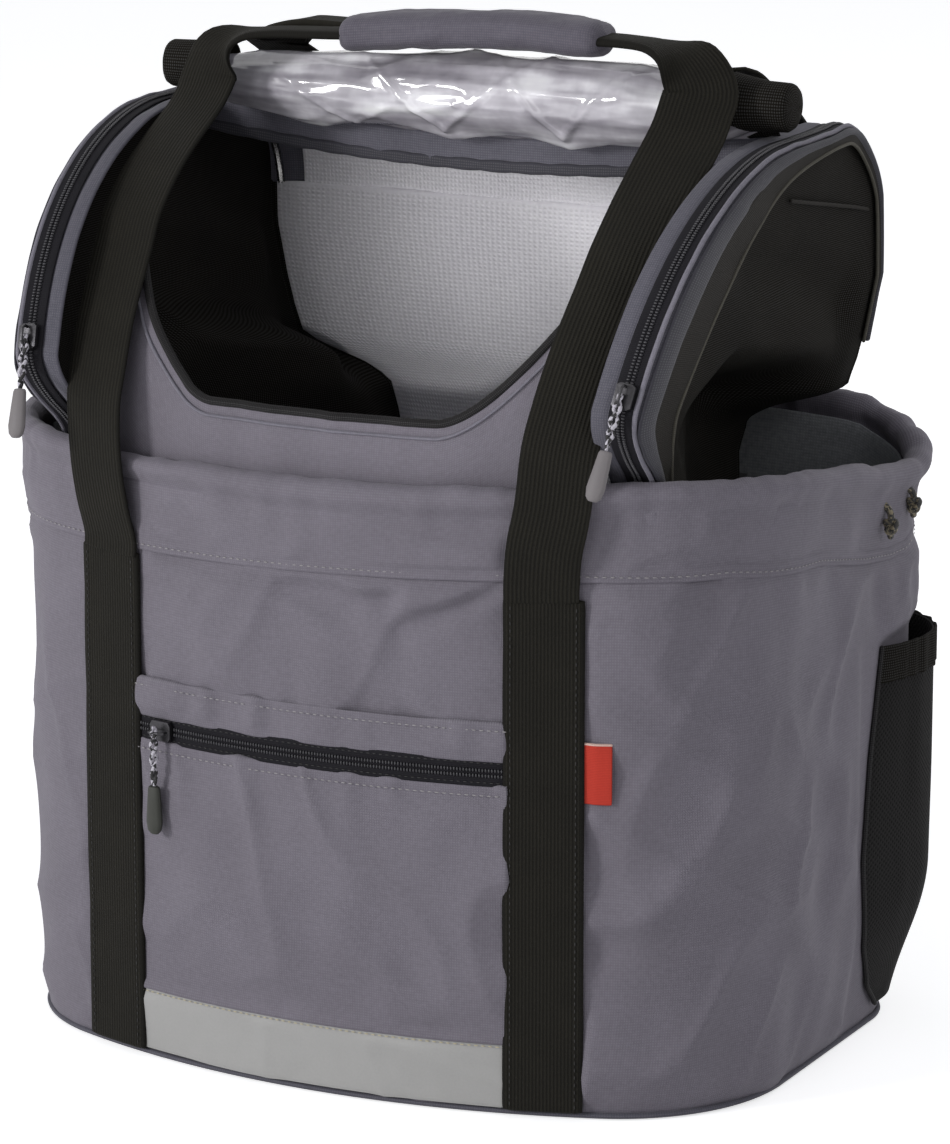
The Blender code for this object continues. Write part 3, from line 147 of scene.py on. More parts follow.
def frames(path, start, closed):
    """Tangent, side and up of each point of a path, turned as little as it allows."""
    ahead = np.roll(path, -1, 0) - np.roll(path, 1, 0)
    if not closed:
        ahead[0], ahead[-1] = path[1] - path[0], path[-1] - path[-2]
    ahead = unit(ahead)
    side, sides = np.asarray(start, float), []
    for a in ahead:
        side = unit(side - a * side.dot(a))
        sides.append(side)
    sides = np.array(sides)
    return ahead, sides, np.cross(ahead, sides)


def placed(name, data):
    """New object in the scene."""
    made = bpy.data.objects.new(name, data)
    bpy.context.scene.collection.objects.link(made)
    return made


def finish_mesh(name, points, faces, uvs, material, body):
    """Mesh object on a body from vertices, faces and one UV (in metres) per vertex."""
    points = np.asarray(points, float)
    mesh = bpy.data.meshes.new(name)
    mesh.from_pydata(points.tolist(), [], [list(map(int, f)) for f in faces])
    tri = []
    for f in faces:
        tri += [(f[0], f[k], f[k + 1]) for k in range(1, len(f) - 1)]
    a, b, c = (points[[t[k] for t in tri]] for k in range(3))
    if np.einsum("ij,ij->i", a, np.cross(b, c)).sum() < 0:
        mesh.flip_normals()
    layer = mesh.uv_layers.new(name="UVMap")
    index = np.zeros(len(mesh.loops), int)
    mesh.loops.foreach_get("vertex_index", index)
    layer.data.foreach_set("uv", np.asarray(uvs, float)[index].ravel())
    mesh.materials.append(material)
    mesh.shade_smooth()
    mesh.set_sharp_from_angle(angle=math.radians(SHARP))
    made = placed(name, mesh)
    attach(made, body)
    return made


def flat_size(grid):
    """Width and length of the cloth that a grid of points was cut from."""
    return float(lengths(grid, 1).sum(1).mean()), float(lengths(grid).sum(0).mean())


def cloth(name, outer, inner, material, body="basket", wrap=False, edge=3):
    """Closed sheet with rounded edges between an outer and an inner grid of points;
    wrap joins the last column to the first."""
    outer, inner = np.asarray(outer, float), np.asarray(inner, float)
    rows, cols = outer.shape[:2]
    along = summed(lengths(outer, 1).mean(0)), summed(lengths(outer).mean(1))
    uv = np.stack(np.meshgrid(*along), -1)
    points = np.concatenate([outer.reshape(-1, 3), inner.reshape(-1, 3)])
    uvs = np.concatenate([uv.reshape(-1, 2)] * 2)
    lift = rows * cols
    i, j = np.meshgrid(np.arange(rows - 1), np.arange(cols if wrap else cols - 1), indexing="ij")
    k = (j + 1) % cols
    a, b = i * cols + j, i * cols + k
    c, d = (i + 1) * cols + k, (i + 1) * cols + j
    quads = np.stack([a, b, c, d], -1).reshape(-1, 4)
    faces = [quads, quads[:, ::-1] + lift]
    if wrap:
        loops = [[(0, q) for q in range(cols)], [(rows - 1, q) for q in range(cols)][::-1]]
    else:
        loops = [[(0, q) for q in range(cols)] + [(p, cols - 1) for p in range(1, rows)]
                 + [(rows - 1, q) for q in range(cols - 2, -1, -1)]
                 + [(p, 0) for p in range(rows - 2, 0, -1)]]
    extra, extra_uv, total = [], [], 2 * lift
    for loop in loops:
        r = np.array([p for p, q in loop])
        q = np.array([q for p, q in loop])
        near_r = np.clip(r, 1, rows - 2)
        near_q = q if wrap else np.clip(q, 1, cols - 2)
        rim, back = outer[r, q], inner[r, q]
        out = unit(rim - outer[near_r, near_q])
        half = (rim - back) / 2
        size = np.linalg.norm(half, axis=1, keepdims=True)
        ids = [r * cols + q]
        for n in range(1, edge + 1):
            turn = math.pi * n / (edge + 1)
            extra.append((rim + back) / 2 + half * math.cos(turn)
                         + out * size * math.sin(turn))
            extra_uv.append(uv[r, q])
            ids.append(np.arange(total, total + len(loop)))
            total += len(loop)
        ids.append(r * cols + q + lift)
        for one, two in zip(ids, ids[1:]):
            faces.append(np.stack([np.roll(one, -1), one, two, np.roll(two, -1)], -1))
    points = np.concatenate([points] + extra)
    uvs = np.concatenate([uvs] + extra_uv)
    return finish_mesh(name, points, np.concatenate(faces).tolist(), uvs, material, body)


def lofted(name, rings, material, body="basket", closed=False):
    """Closed solid through rings of points, with flat ends or joined into a loop."""
    rings = np.asarray(rings, float)
    count, size = rings.shape[:2]
    seamed = np.concatenate([rings, rings[:, :1]], 1)
    u, v = summed(lengths(seamed, 1).mean(0)), summed(lengths(rings).mean(1))
    faces = []
    for i in range(count if closed else count - 1):
        k = (i + 1) % count
        for j in range(size):
            n = (j + 1) % size
            faces.append((i * size + j, i * size + n, k * size + n, k * size + j))
    uvs = np.stack(np.meshgrid(u[:-1], v), -1).reshape(-1, 2)
    if not closed:
        faces += [tuple(range(size)), tuple((count - 1) * size + j for j in range(size))[::-1]]
    return finish_mesh(name, rings.reshape(-1, 3), faces, uvs, material, body)


def cord(name, path, radius, material, body="basket", sides=8, closed=False):
    """Round cord along a path; open ends are domed."""
    path = np.asarray(path, float)
    start = np.cross(path[1] - path[0], (0.3, 0.5, 0.81))
    ahead, side, up = frames(path, start, closed)
    radii = np.full(len(path), radius)
    if not closed:
        dome = np.array([1.3, 0.9, 0.45])
        beyond, small = radius * np.sin(dome)[:, None], radius * np.cos(dome)
        path = np.concatenate([path[0] - ahead[0] * beyond, path,
                               path[-1] + ahead[-1] * beyond[::-1]])
        side, up = (np.concatenate([[way[0]] * 3, way, [way[-1]] * 3]) for way in (side, up))
        radii = np.concatenate([small, radii, small[::-1]])
    turn = (np.arange(sides) * math.tau / sides)[:, None]
    section = side[:, None] * np.cos(turn) + up[:, None] * np.sin(turn)
    return lofted(name, path[:, None] + section * radii[:, None, None], material, body, closed)


def add_node(tree, kind, inputs=(), **settings):
    """Adds a node; each input, by name or number, takes a value or an output to link."""
    made = tree.nodes.new(kind)
    for key, value in settings.items():
        setattr(made, key, value)
    for key, value in dict(inputs).items():
        if isinstance(value, bpy.types.NodeSocket):
            tree.links.new(value, made.inputs[key])
        else:
            made.inputs[key].default_value = value
    return made


def row_tree():
    """Places one small rounded body at even steps along a line; its width lies
    along the tangent and its height along the line's own 'up' attribute."""
    tree = bpy.data.node_groups.new("row_along_a_line", "GeometryNodeTree")
    face = tree.interface
    face.new_socket("Line", in_out="INPUT", socket_type="NodeSocketGeometry")
    for label in ("Spacing", "Length", "Width", "Height"):
        face.new_socket(label, in_out="INPUT", socket_type="NodeSocketFloat")
    face.new_socket("Row", in_out="OUTPUT", socket_type="NodeSocketGeometry")
    given = add_node(tree, "NodeGroupInput")
    curve = add_node(tree, "GeometryNodeMeshToCurve", {"Mesh": given.outputs["Line"]})
    even = add_node(tree, "GeometryNodeResampleCurve",
                    {"Curve": curve.outputs[0], "Length": given.outputs["Spacing"]}, mode="LENGTH")
    ball = add_node(tree, "GeometryNodeMeshUVSphere", {"Segments": 6, "Rings": 4, "Radius": 0.5})
    size = add_node(tree, "ShaderNodeCombineXYZ", {0: given.outputs["Length"],
                    1: given.outputs["Width"], 2: given.outputs["Height"]})
    shaped = add_node(tree, "GeometryNodeTransform", {"Geometry": ball.outputs[0],
                      "Scale": size.outputs[0]})
    tangent = add_node(tree, "GeometryNodeInputTangent")
    up = add_node(tree, "GeometryNodeInputNamedAttribute", {"Name": "up"}, data_type="FLOAT_VECTOR")
    one = add_node(tree, "FunctionNodeAlignRotationToVector",
                   {"Vector": tangent.outputs[0]}, axis="X")
    two = add_node(tree, "FunctionNodeAlignRotationToVector",
                   {"Rotation": one.outputs[0], "Vector": up.outputs[0]}, axis="Z", pivot_axis="X")
    put = add_node(tree, "GeometryNodeInstanceOnPoints", {"Points": even.outputs[0],
                   "Instance": shaped.outputs[0], "Rotation": two.outputs[0]})
    real = add_node(tree, "GeometryNodeRealizeInstances", {0: put.outputs[0]})
    soft = add_node(tree, "GeometryNodeSetShadeSmooth", {0: real.outputs[0]})
    add_node(tree, "NodeGroupOutput", {0: soft.outputs[0]})
    return tree


ROW_TREE = row_tree()


def row(name, lines, spacing, size, material, ups=None):
    """Stitches or teeth along lines that run round the tub or have their own ups;
    size is length, width and height."""
    mesh = bpy.data.meshes.new(name + "_line")
    points, edges, up_all = [], [], []
    for line, up in zip(lines, ups or map(outward, lines)):
        base = len(points)
        points += np.asarray(line).tolist()
        up_all += np.broadcast_to(up, np.shape(line)).tolist()
        edges += [(base + k, base + k + 1) for k in range(len(line) - 1)]
    mesh.from_pydata(points, edges, [])
    attribute = mesh.attributes.new("up", "FLOAT_VECTOR", "POINT")
    attribute.data.foreach_set("vector", np.asarray(up_all, float).ravel())
    held = placed(name + "_line", mesh)
    step = held.modifiers.new("row", "NODES")
    step.node_group = ROW_TREE
    ids = {s.name: s.identifier for s in ROW_TREE.interface.items_tree
           if s.in_out == "INPUT"}
    for label, value in zip(("Spacing", "Length", "Width", "Height"), (spacing, *size)):
        step[ids[label]] = value
    graph = bpy.context.evaluated_depsgraph_get()
    done = bpy.data.meshes.new_from_object(held.evaluated_get(graph))
    done.name = name
    done.materials.clear()
    done.materials.append(material)
    if "up" in done.attributes:
        done.attributes.remove(done.attributes["up"])
    bpy.data.objects.remove(held)
    made = placed(name, done)
    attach(made, "basket")
    return made


def linear(code):
    """An sRGB hex colour as linear RGBA."""
    c = [int(code[k:k + 2], 16) / 255 for k in (1, 3, 5)]
    return (*[x / 12.92 if x <= 0.04045 else ((x + 0.055) / 1.055) ** 2.4 for x in c], 1.0)


def new_material(name, rough, metallic=0.0, sheen=0.0, coat=0.0, gleam=0.5):
    made = bpy.data.materials.new(name)
    made.use_nodes = True
    tree = made.node_tree
    shader = tree.nodes["Principled BSDF"]
    shader.inputs["Roughness"].default_value = rough
    shader.inputs["Metallic"].default_value = metallic
    shader.inputs["Sheen Weight"].default_value = sheen
    shader.inputs["Sheen Roughness"].default_value = 0.45
    shader.inputs["Coat Weight"].default_value = coat
    shader.inputs["Specular IOR Level"].default_value = gleam
    return made, tree, shader


def math_node(tree, operation, a, b):
    return add_node(tree, "ShaderNodeMath", {0: a, 1: b}, operation=operation).outputs[0]


def plus(tree, a, b):
    return math_node(tree, "ADD", a, b)


def times(tree, a, b):
    return math_node(tree, "MULTIPLY", a, b)


def mix_color(tree, factor, a, b):
    return add_node(tree, "ShaderNodeMix", {0: factor, 6: a, 7: b}, data_type="RGBA").outputs[2]


def tint(tree, shader, factor, dark, base):
    """Gives the shader a colour between two hex codes."""
    tree.links.new(mix_color(tree, factor, linear(dark), linear(base)), shader.inputs["Base Color"])


def place_on(tree, space="UV", **settings):
    """Coordinates of the piece's own UV, in metres, or of its object; turned or scaled."""
    where = add_node(tree, "ShaderNodeTexCoord").outputs[space]
    if settings:
        where = add_node(tree, "ShaderNodeMapping", {"Vector": where, **settings}).outputs[0]
    return where


def bands(tree, where, pitch, direction, distortion=0.0):
    """Sine bands of a real pitch in metres."""
    return add_node(tree, "ShaderNodeTexWave",
                    {"Vector": where, "Scale": 0.314 / pitch, "Distortion": distortion,
                     "Detail": 1.0, "Detail Scale": 2.0},
                    wave_type="BANDS", bands_direction=direction).outputs["Fac"]


def spots(tree, where, size, detail=3.0):
    """Soft noise whose features have a real size in metres."""
    return add_node(tree, "ShaderNodeTexNoise",
                    {"Vector": where, "Scale": 1 / size, "Detail": detail}).outputs["Fac"]


def bump(tree, shader, height, depth, strength=1.0):
    made = add_node(tree, "ShaderNodeBump",
                    {"Strength": strength, "Distance": depth, "Height": height})
    tree.links.new(made.outputs[0], shader.inputs["Normal"])


def woven(name, base, dark, pitch=1.1 * MM, rough=0.78, sheen=0.10, depth=0.10 * MM, gleam=0.3):
    """Plain-weave cloth on the piece's own UV; the weave is drawn coarser than the
    real thread so that it shows."""
    made, tree, shader = new_material(name, rough, sheen=sheen, gleam=gleam)
    uv = place_on(tree)
    over, under = bands(tree, uv, pitch, "X", 0.4), bands(tree, uv, pitch, "Y", 0.4)
    weave = times(tree, over, under)
    cloudy, fine = spots(tree, uv, 45 * MM, 4.0), spots(tree, uv, 2.2 * MM, 4.0)
    factor = plus(tree, times(tree, cloudy, 0.5), times(tree, fine, 0.5))
    tone = add_node(tree, "ShaderNodeMapRange",
                    {"Value": factor, "From Min": 0.25, "From Max": 0.75}).outputs[0]
    thread = mix_color(tree, tone, linear(dark), linear(base))
    lit = mix_color(tree, times(tree, weave, 0.16), thread, linear("#FFFFFF"))
    tree.links.new(mix_color(tree, 0.35, thread, lit), shader.inputs["Base Color"])
    bump(tree, shader, plus(tree, weave, times(tree, fine, 0.8)), depth)
    return made


def ribbed(name, base, dark, pitch=1.5 * MM, depth=0.30 * MM, gleam=0.15):
    """Grosgrain webbing: cross ribs with a fine warp over them."""
    made, tree, shader = new_material(name, 0.8, gleam=gleam)
    uv = place_on(tree)
    rib, warp = bands(tree, uv, pitch, "Y", 0.6), bands(tree, uv, 1.0 * MM, "X", 1.5)
    cloudy, fine = spots(tree, uv, 18 * MM), spots(tree, uv, 1.2 * MM, 5.0)
    tone = plus(tree, times(tree, rib, 0.55), times(tree, fine, 0.45))
    tint(tree, shader, times(tree, tone, plus(tree, cloudy, 0.45)), dark, base)
    bump(tree, shader, plus(tree, rib, times(tree, warp, 0.3)), depth)
    return made


def moulded(name, base, dark, rough=0.5, grain=0.6 * MM, depth=0.04 * MM, coat=0.0, metallic=0.0):
    """Moulded, cast or drawn stock with a fine grain in object space."""
    made, tree, shader = new_material(name, rough, metallic=metallic, coat=coat)
    where = place_on(tree, "Object")
    fine, wide = spots(tree, where, grain, 4.0), spots(tree, where, 12 * MM)
    tint(tree, shader, times(tree, plus(tree, fine, wide), 0.5), dark, base)
    worn = add_node(tree, "ShaderNodeMapRange",
                    {"Value": fine, "To Min": rough - 0.08, "To Max": rough + 0.08}).outputs[0]
    tree.links.new(worn, shader.inputs["Roughness"])
    bump(tree, shader, fine, depth)
    return made


def speckled(name, base, fleck, size=1.5 * MM):
    """Braided round cord with light flecks in a dark braid."""
    made, tree, shader = new_material(name, 0.6, sheen=0.1)
    turn = place_on(tree, Rotation=(0, 0, 0.75))
    cells = add_node(tree, "ShaderNodeTexVoronoi", {"Vector": turn, "Scale": 1 / size,
                     "Randomness": 0.7}, feature="F1")
    pick = add_node(tree, "ShaderNodeSeparateColor", {0: cells.outputs["Color"]}).outputs[0]
    tint(tree, shader, math_node(tree, "GREATER_THAN", pick, 0.56), base, fleck)
    bump(tree, shader, bands(tree, turn, 0.7 * MM, "X", 0.5), 0.15 * MM)
    return made


def clear_film(name):
    """Soft clear PVC seen through several layers, milky in colour; the white and dark
    streaks along its long folds are painted reflections, under one gloss."""
    made, tree, shader = new_material(name, 0.13, coat=0.8)
    shader.inputs["IOR"].default_value = 1.53
    shader.inputs["Transmission Weight"].default_value = 0.12
    # white and dark streaks along the film's length: painted reflections in the base colour
    painted_reflection_streak = spots(tree, place_on(tree, Scale=(1.0, 0.16, 1.0)), 13 * MM)
    fine = spots(tree, place_on(tree), 16 * MM)
    tone = plus(tree, times(tree, painted_reflection_streak, 0.75), times(tree, fine, 0.25))
    ramp = add_node(tree, "ShaderNodeValToRGB", {"Fac": tone})
    colours = ((0.30, "#77747D"), (0.41, "#A5A1A9"), (0.50, "#C6C2CA"), (0.58, "#F0EEF3"),
               (0.66, "#FFFFFF"))
    while len(ramp.color_ramp.elements) < len(colours):
        ramp.color_ramp.elements.new(0.5)
    for stop, (place, code) in zip(ramp.color_ramp.elements, colours):
        stop.position, stop.color = place, linear(code)
    tree.links.new(ramp.outputs[0], shader.inputs["Base Color"])
    bump(tree, shader, tone, 0.9 * MM, 0.6)
    return made


def netting(name):
    """Knitted net: rows of small holes over a black ground."""
    made, tree, shader = new_material(name, 0.85, gleam=0.12)
    turn = place_on(tree, Rotation=(0, 0, 0.785))
    holes = times(tree, bands(tree, turn, 1.8 * MM, "X"), bands(tree, turn, 1.8 * MM, "Y"))
    tone = math_node(tree, "SUBTRACT", 1.0, holes)
    tint(tree, shader, tone, "#070707", "#222121")
    bump(tree, shader, tone, 0.4 * MM)
    return made


# Outer cloth is coated polyester: matt, cool grey with a violet cast.
GREY = woven("coated_polyester_grey", "#7B7680", "#67626B")
GREY_DEEP = woven("coated_polyester_shade", "#5C5A64", "#474650")
GREY_DARK = woven("coated_polyester_dark_fold", "#3B3A42", "#2C2B31")
LINING = woven("lining_polyester_dark", "#A4A6A9", "#6C6E71", pitch=1.3 * MM, sheen=0.03, gleam=0.2)
BLACK_CLOTH = woven("coated_polyester_black", "#1B1812", "#0F0D0A", rough=0.8, sheen=0.0,
                    gleam=0.03)
OLIVE = woven("binding_tape_olive", "#56534A", "#423F37", pitch=0.8 * MM, sheen=0.0, gleam=0.2)
PLUSH = woven("brushed_fleece_pale", "#F6F4F8", "#E6E3EA", pitch=2.0 * MM, rough=0.92, sheen=0.2,
              depth=0.4 * MM)
WEB = ribbed("webbing_polypropylene_black", "#26241E", "#0C0B09")
# Binding webbing: finer ribs and a lighter black than the handle webbing
BINDING_WEB = ribbed("webbing_binding_black", "#312E2B", "#1A1917", pitch=0.9 * MM, depth=0.12 * MM)
TAPE = ribbed("zip_tape_polyester", "#232227", "#111013", pitch=0.8 * MM, depth=0.08 * MM)
COIL = moulded("zip_coil_nylon", "#3C3B40", "#17161A", rough=0.45)
PIPING = woven("piping_tape_black", "#232122", "#131213", pitch=0.8 * MM, sheen=0.0, gleam=0.15)
LIGHT_PIPING = woven("edge_piping_grey", "#86838E", "#6B6872", pitch=0.8 * MM)
THREAD = moulded("sewing_thread_pale", "#A5A1A2", "#878385", rough=0.6)
THREAD_DARK = moulded("sewing_thread_dark", "#2B2A2A", "#171616", rough=0.7)
THREAD_CREAM = moulded("sewing_thread_cream", "#C9C0A2", "#AFA689", rough=0.6)
REFLECT = moulded("retroreflective_tape", "#ACABA9", "#9A9997", rough=0.42, grain=0.9 * MM,
                  coat=0.1)
RED_LABEL = ribbed("label_satin_red", "#CE3E2C", "#B02E20", pitch=0.7 * MM, depth=0.05 * MM,
                   gleam=0.4)
PALE_LABEL = woven("label_fold_pale", "#E8C9BE", "#D9B4A6", pitch=0.7 * MM)
GRIP_CLOTH = woven("grip_polyester_grey", "#65616B", "#4D4954")
CORD_MIX = speckled("accessory_cord_mottled", "#121113", "#C9C5CE")
CORD_BLACK = speckled("drawcord_dark", "#1A1917", "#8A8068", size=1.2 * MM)
RUBBER_GREY = moulded("moulded_rubber_grey", "#7F7A7B", "#696566", rough=0.62)
RUBBER_BLACK = moulded("moulded_rubber_black", "#2B2D25", "#1F201B", rough=0.6)
LACQUER = moulded("zinc_slider_lacquered", "#4A494C", "#2A292B", rough=0.34, metallic=0.85)
STEEL = moulded("plated_steel", "#B4B3B2", "#9A9998", rough=0.28, metallic=1.0)
NYLON = moulded("glass_filled_nylon", "#232324", "#161617", rough=0.5, depth=0.06 * MM)
RED_PLASTIC = moulded("moulded_abs_red", "#C02A20", "#A8221A", rough=0.35, coat=0.2)
BOARD = moulded("polyethylene_sheet", "#5A5A5C", "#4A4A4C", rough=0.55)
FILM = clear_film("soft_pvc_film_painted_reflections")
NET = netting("knitted_net_black")


def half_width(z):
    low = blend(HALF_BASE, HALF_BELLY, smooth(z / BELLY_Z))
    high = blend(HALF_BELLY, HALF_RIM, smooth((z - FLARE_Z) / (RIM_Z - FLARE_Z)))
    return np.where(z < BELLY_Z, low, high)


def back_reach(z):
    share = np.clip(1 - z / BACK_ROUND, 0, 1)
    return blend(BACK_BASE, BACK_REACH, np.sqrt(1 - share * share))


def front_turn(z):
    return np.arcsin((half_width(z) - CORNER_RADIUS) / (FRONT_RADIUS - CORNER_RADIUS))


def shell(t, z, off=0.0, left=False):
    """Point off the tub's outer face.  t runs along the outline: 0 to 1 front arc,
    to 2 corner, to 3 side, to 4 rear corner, to 5 back, ending in the middle."""
    t, z, off = np.broadcast_arrays(t, z, off)
    wide, turn = half_width(z), front_turn(z)
    part = np.clip(np.floor(t), 0, 4)
    share = t - part
    parts = [part == k for k in range(4)]
    corner_y = -FRONT_REACH + FRONT_RADIUS - (FRONT_RADIUS - CORNER_RADIUS) * np.cos(turn)
    rear = back_reach(z) - BACK_CORNER
    a0, a1, a3 = turn * share, blend(turn, math.pi / 2, share), math.pi / 2 * share
    x = np.select(parts,
                  [(FRONT_RADIUS + off) * np.sin(a0),
                   wide - CORNER_RADIUS + (CORNER_RADIUS + off) * np.sin(a1),
                   wide + off, wide - BACK_CORNER + (BACK_CORNER + off) * np.cos(a3)],
                  blend(wide - BACK_CORNER, 0.0, share))
    y = np.select(parts,
                  [FRONT_RADIUS - FRONT_REACH - (FRONT_RADIUS + off) * np.cos(a0),
                   corner_y - (CORNER_RADIUS + off) * np.cos(a1),
                   blend(corner_y, rear, share), rear + (BACK_CORNER + off) * np.sin(a3)],
                  rear + BACK_CORNER + off)
    return np.stack([np.where(left, -x, x), y + SHIFT_Y, z], -1)


def front_at(x, z, off=0.0):
    """Point of the front arc at a given sideways place."""
    x, z, off = np.broadcast_arrays(x, z, off)
    a = np.arcsin(x / FRONT_RADIUS)
    return np.stack([(FRONT_RADIUS + off) * np.sin(a),
                     FRONT_RADIUS - FRONT_REACH - (FRONT_RADIUS + off) * np.cos(a) + SHIFT_Y,
                     z], -1)


def front_cloth(name, x, z, outer, inner, material, edge=3):
    """Cloth over the front arc between two distances from the tub's face."""
    return cloth(name, front_at(x, z, outer), front_at(x, z, inner), material, edge=edge)


def front_share(x, z):
    return np.arcsin(x / FRONT_RADIUS) / front_turn(z)


def back_share(x, z):
    return 5 - x / (half_width(z) - BACK_CORNER)


def side_stations(z, step=2.6 * MM):
    """Stations t for each row from the front webbing's middle round the side to the
    rear webbing's, and their distance along the middle row."""
    first, *counts, last = [int(round(n / step)) for n in (0.060, 0.100, 0.088, 0.063, 0.045)]
    between = [k + np.arange(n) / n for k, n in enumerate(counts, 1)]
    t = np.concatenate([blend(front_share(STRAP_X, z), 1.0, np.arange(first) / first),
                        np.broadcast_to(np.concatenate(between), (len(z), sum(counts))),
                        blend(4.0, back_share(STRAP_X, z), np.linspace(0, 1, last))], 1)
    middle = len(z) // 2
    return t, summed(lengths(shell(t[middle], z[middle])))


def wall_folds(s, z, seed, length, tucked, hem):
    """Hollows, drape folds, puckers under the hem and beside the webbing; the wall
    stays down where the webbing lies over its ends."""
    d = 1.6 * MM * noise(s / 0.085, z / 0.10, seed)
    d += 1.0 * MM * noise(s / 0.022, z / 0.036, seed + 1)
    d += 1.9 * MM * (crease((s * 0.55 + z) / 0.040, (s - z) / 0.10, seed + 5) - 0.35)
    d += 1.5 * MM * (crease((s - z * 0.45) / 0.033, (s * 0.5 + z) / 0.085, seed + 9) - 0.35)
    d += 1.8 * MM * np.exp(-np.clip(hem - z, 0, None) / 0.022) * noise(
        s / 0.012 + z / 0.05, z / 0.06, seed + 2)
    ends = np.exp(-np.clip(s - tucked, 0, None) / 0.022) + np.exp(
        -np.clip(length - tucked - s, 0, None) / 0.022)
    d += 2.0 * MM * ends * noise(z / 0.015, s / 0.045, seed + 3)
    free = smooth((s - tucked) / 0.008) * smooth((length - tucked - s) / 0.008)
    d = (1.8 * d + 0.6 * MM) * (0.25 + 0.75 * smooth(z / 0.014))
    d = blend(np.minimum(d, 0.1 * MM), d, free) - 1.8 * MM * (1 - smooth(z / 0.010))
    return within_wall(d, z, hem)


def within_wall(d, z, hem):
    """Keeps a relief within the padding, and flat under the rim's casing."""
    return np.clip(d, -2.6 * MM, blend(4.4 * MM, 0.4 * MM, smooth((z - hem + 0.010) / 0.008)))


# Lines along which the front droops under the hem between the straps
DROOPS = (((-0.085, 0.229), (-0.038, 0.2225), (-0.008, 0.2185), (0.016, 0.2165), (0.046, 0.2185)),
          ((0.034, 0.204), (0.056, 0.212), (0.072, 0.2205), (0.088, 0.230)))


def droop(x, z):
    total = 0.0
    for line in DROOPS:
        px, pz = np.array(line).T
        away = z - np.interp(x, px, pz)
        ends = smooth((x - px[0] + 0.004) / 0.016) * smooth((px[-1] + 0.004 - x) / 0.016)
        total = total + ends * MM * (2.0 * np.exp(-((away - 0.0085) / 0.0055) ** 2)
                                     - 2.0 * np.exp(-((away + 0.001) / 0.0048) ** 2))
    return total


def tub_walls():
    z = span(0.0022, 0.2535, 2.4 * MM)[:, None]
    t, along = side_stations(z)
    under_net = smooth((t - 2.54) / 0.08) * smooth((0.186 - z) / 0.010)
    for (left, _, tag), seed, share in zip(SIDES, (7, 31), (1.0, 0.55)):
        hem = HEM_Z + hem_rise(t, left)
        z_here = risen(t, z, left)
        d = share * wall_folds(along, z_here, seed, along[-1], 0.015, hem)
        d = blend(d, np.minimum(d, 0.2 * MM), under_net)
        made = cloth("tub_side_" + tag, shell(t, z_here, d, left),
                     shell(t, z_here, -PANEL + 0.3 * d, left), GREY)
        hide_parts("side_panel_" + tag)
    xs = span(-STRAP_X, STRAP_X, 2.2 * MM)
    hem = HEM_Z + hem_rise(front_share(xs, z), xs < 0)
    d = wall_folds(xs + STRAP_X, z, 3, 2 * STRAP_X, 0.0152, hem) * 0.8 + 1.5 * droop(xs, z)
    dents = np.exp(-np.clip(z - 0.170, 0, None) / 0.009)
    d -= 2.2 * MM * dents * np.clip(noise(xs / 0.0085, z / 0.05, 12), 0, 1)
    side = smooth((STRAP_X - 0.0152 - np.abs(xs)) / 0.008)
    d = blend(np.minimum(d, 0.1 * MM), d, side)
    d = np.minimum(within_wall(d, z, hem), blend(0.2 * MM, 4 * MM, smooth((z - 0.167) / 0.010)))
    made = front_cloth("tub_front", xs, z, d, -PANEL + 0.3 * d, GREY)
    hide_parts("front_panel")
    d = 0.5 * wall_folds(xs + STRAP_X, z, 57, 2 * STRAP_X, 0.015, HEM_Z)
    d = np.where((z > 0.05) & (z < 0.232), np.minimum(d, 0.1 * MM), d)

    def back(off):
        return points_at(xs, back_reach(z) + off + SHIFT_Y, z)
    made = cloth("tub_back", back(d), back(-PANEL), GREY)
    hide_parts("back_panel")


def ring_stations(step):
    """Stations right round the tub, and which of them are on its left."""
    counts = [int(round(n / step)) for n in (0.112, 0.100, 0.088, 0.063, 0.140)]
    right = [k + q / n for k, n in enumerate(counts) for q in range(n)]
    t = np.array(right + [5.0] + right[:0:-1])
    return t, np.arange(len(t)) > len(right)


# How far the rim's top and its hem lie from their level, in mm, by station
RIM_T = (0.0, 0.75, 1.0, 1.44, 1.88, 2.36, 2.6, 2.85, 3.0, 3.25, 3.55, 3.75, 3.9, 4.06, 4.3, 5.0)
RIM_RISE = (-1.0, 2.0, 6.0, 5.5, 3.0, -5.0, -10.5, -14.5, -16.0, -13.0, -7.0, -3.5, -0.5, 3.5, 5.0,
            5.0)
RIM_RISE_LEFT = (-1.0, -1.0, 0.0, 1.5, 1.0, -1.0, -3.0, -4.0, -5.0, -4.0, -1.0, 1.0, 2.0, 4.0, 4.0,
                 4.0)
HEM_T = (0.0, 0.3, 0.6, 0.85, 1.5, 1.7, 2.16, 2.6, 2.85, 3.0, 3.25, 3.55, 3.9, 5.0)
HEM_RISE = (3.0, 4.2, 5.8, 6.8, 7.0, 4.5, 0.0, -10.0, -14.0, -14.5, -10.0, -4.0, 0.0, 0.0)
HEM_RISE_LEFT = (3.0, 1.8, 1.2, 0.8, 1.0, 0.0, -1.0, -3.0, -4.0, -5.0, -4.0, -1.0, 0.0, 0.0)


def top_rise(t, left):
    return MM * np.where(left, np.interp(t, RIM_T, RIM_RISE_LEFT), np.interp(t, RIM_T, RIM_RISE))


def risen(t, z, left):
    """Heights on the wall, moved with the rim's rise towards the top."""
    return z + top_rise(t, left) * smooth((z - 0.15) / 0.09)


def hem_rise(t, left):
    return MM * np.where(left, np.interp(t, HEM_T, HEM_RISE_LEFT), np.interp(t, HEM_T, HEM_RISE))


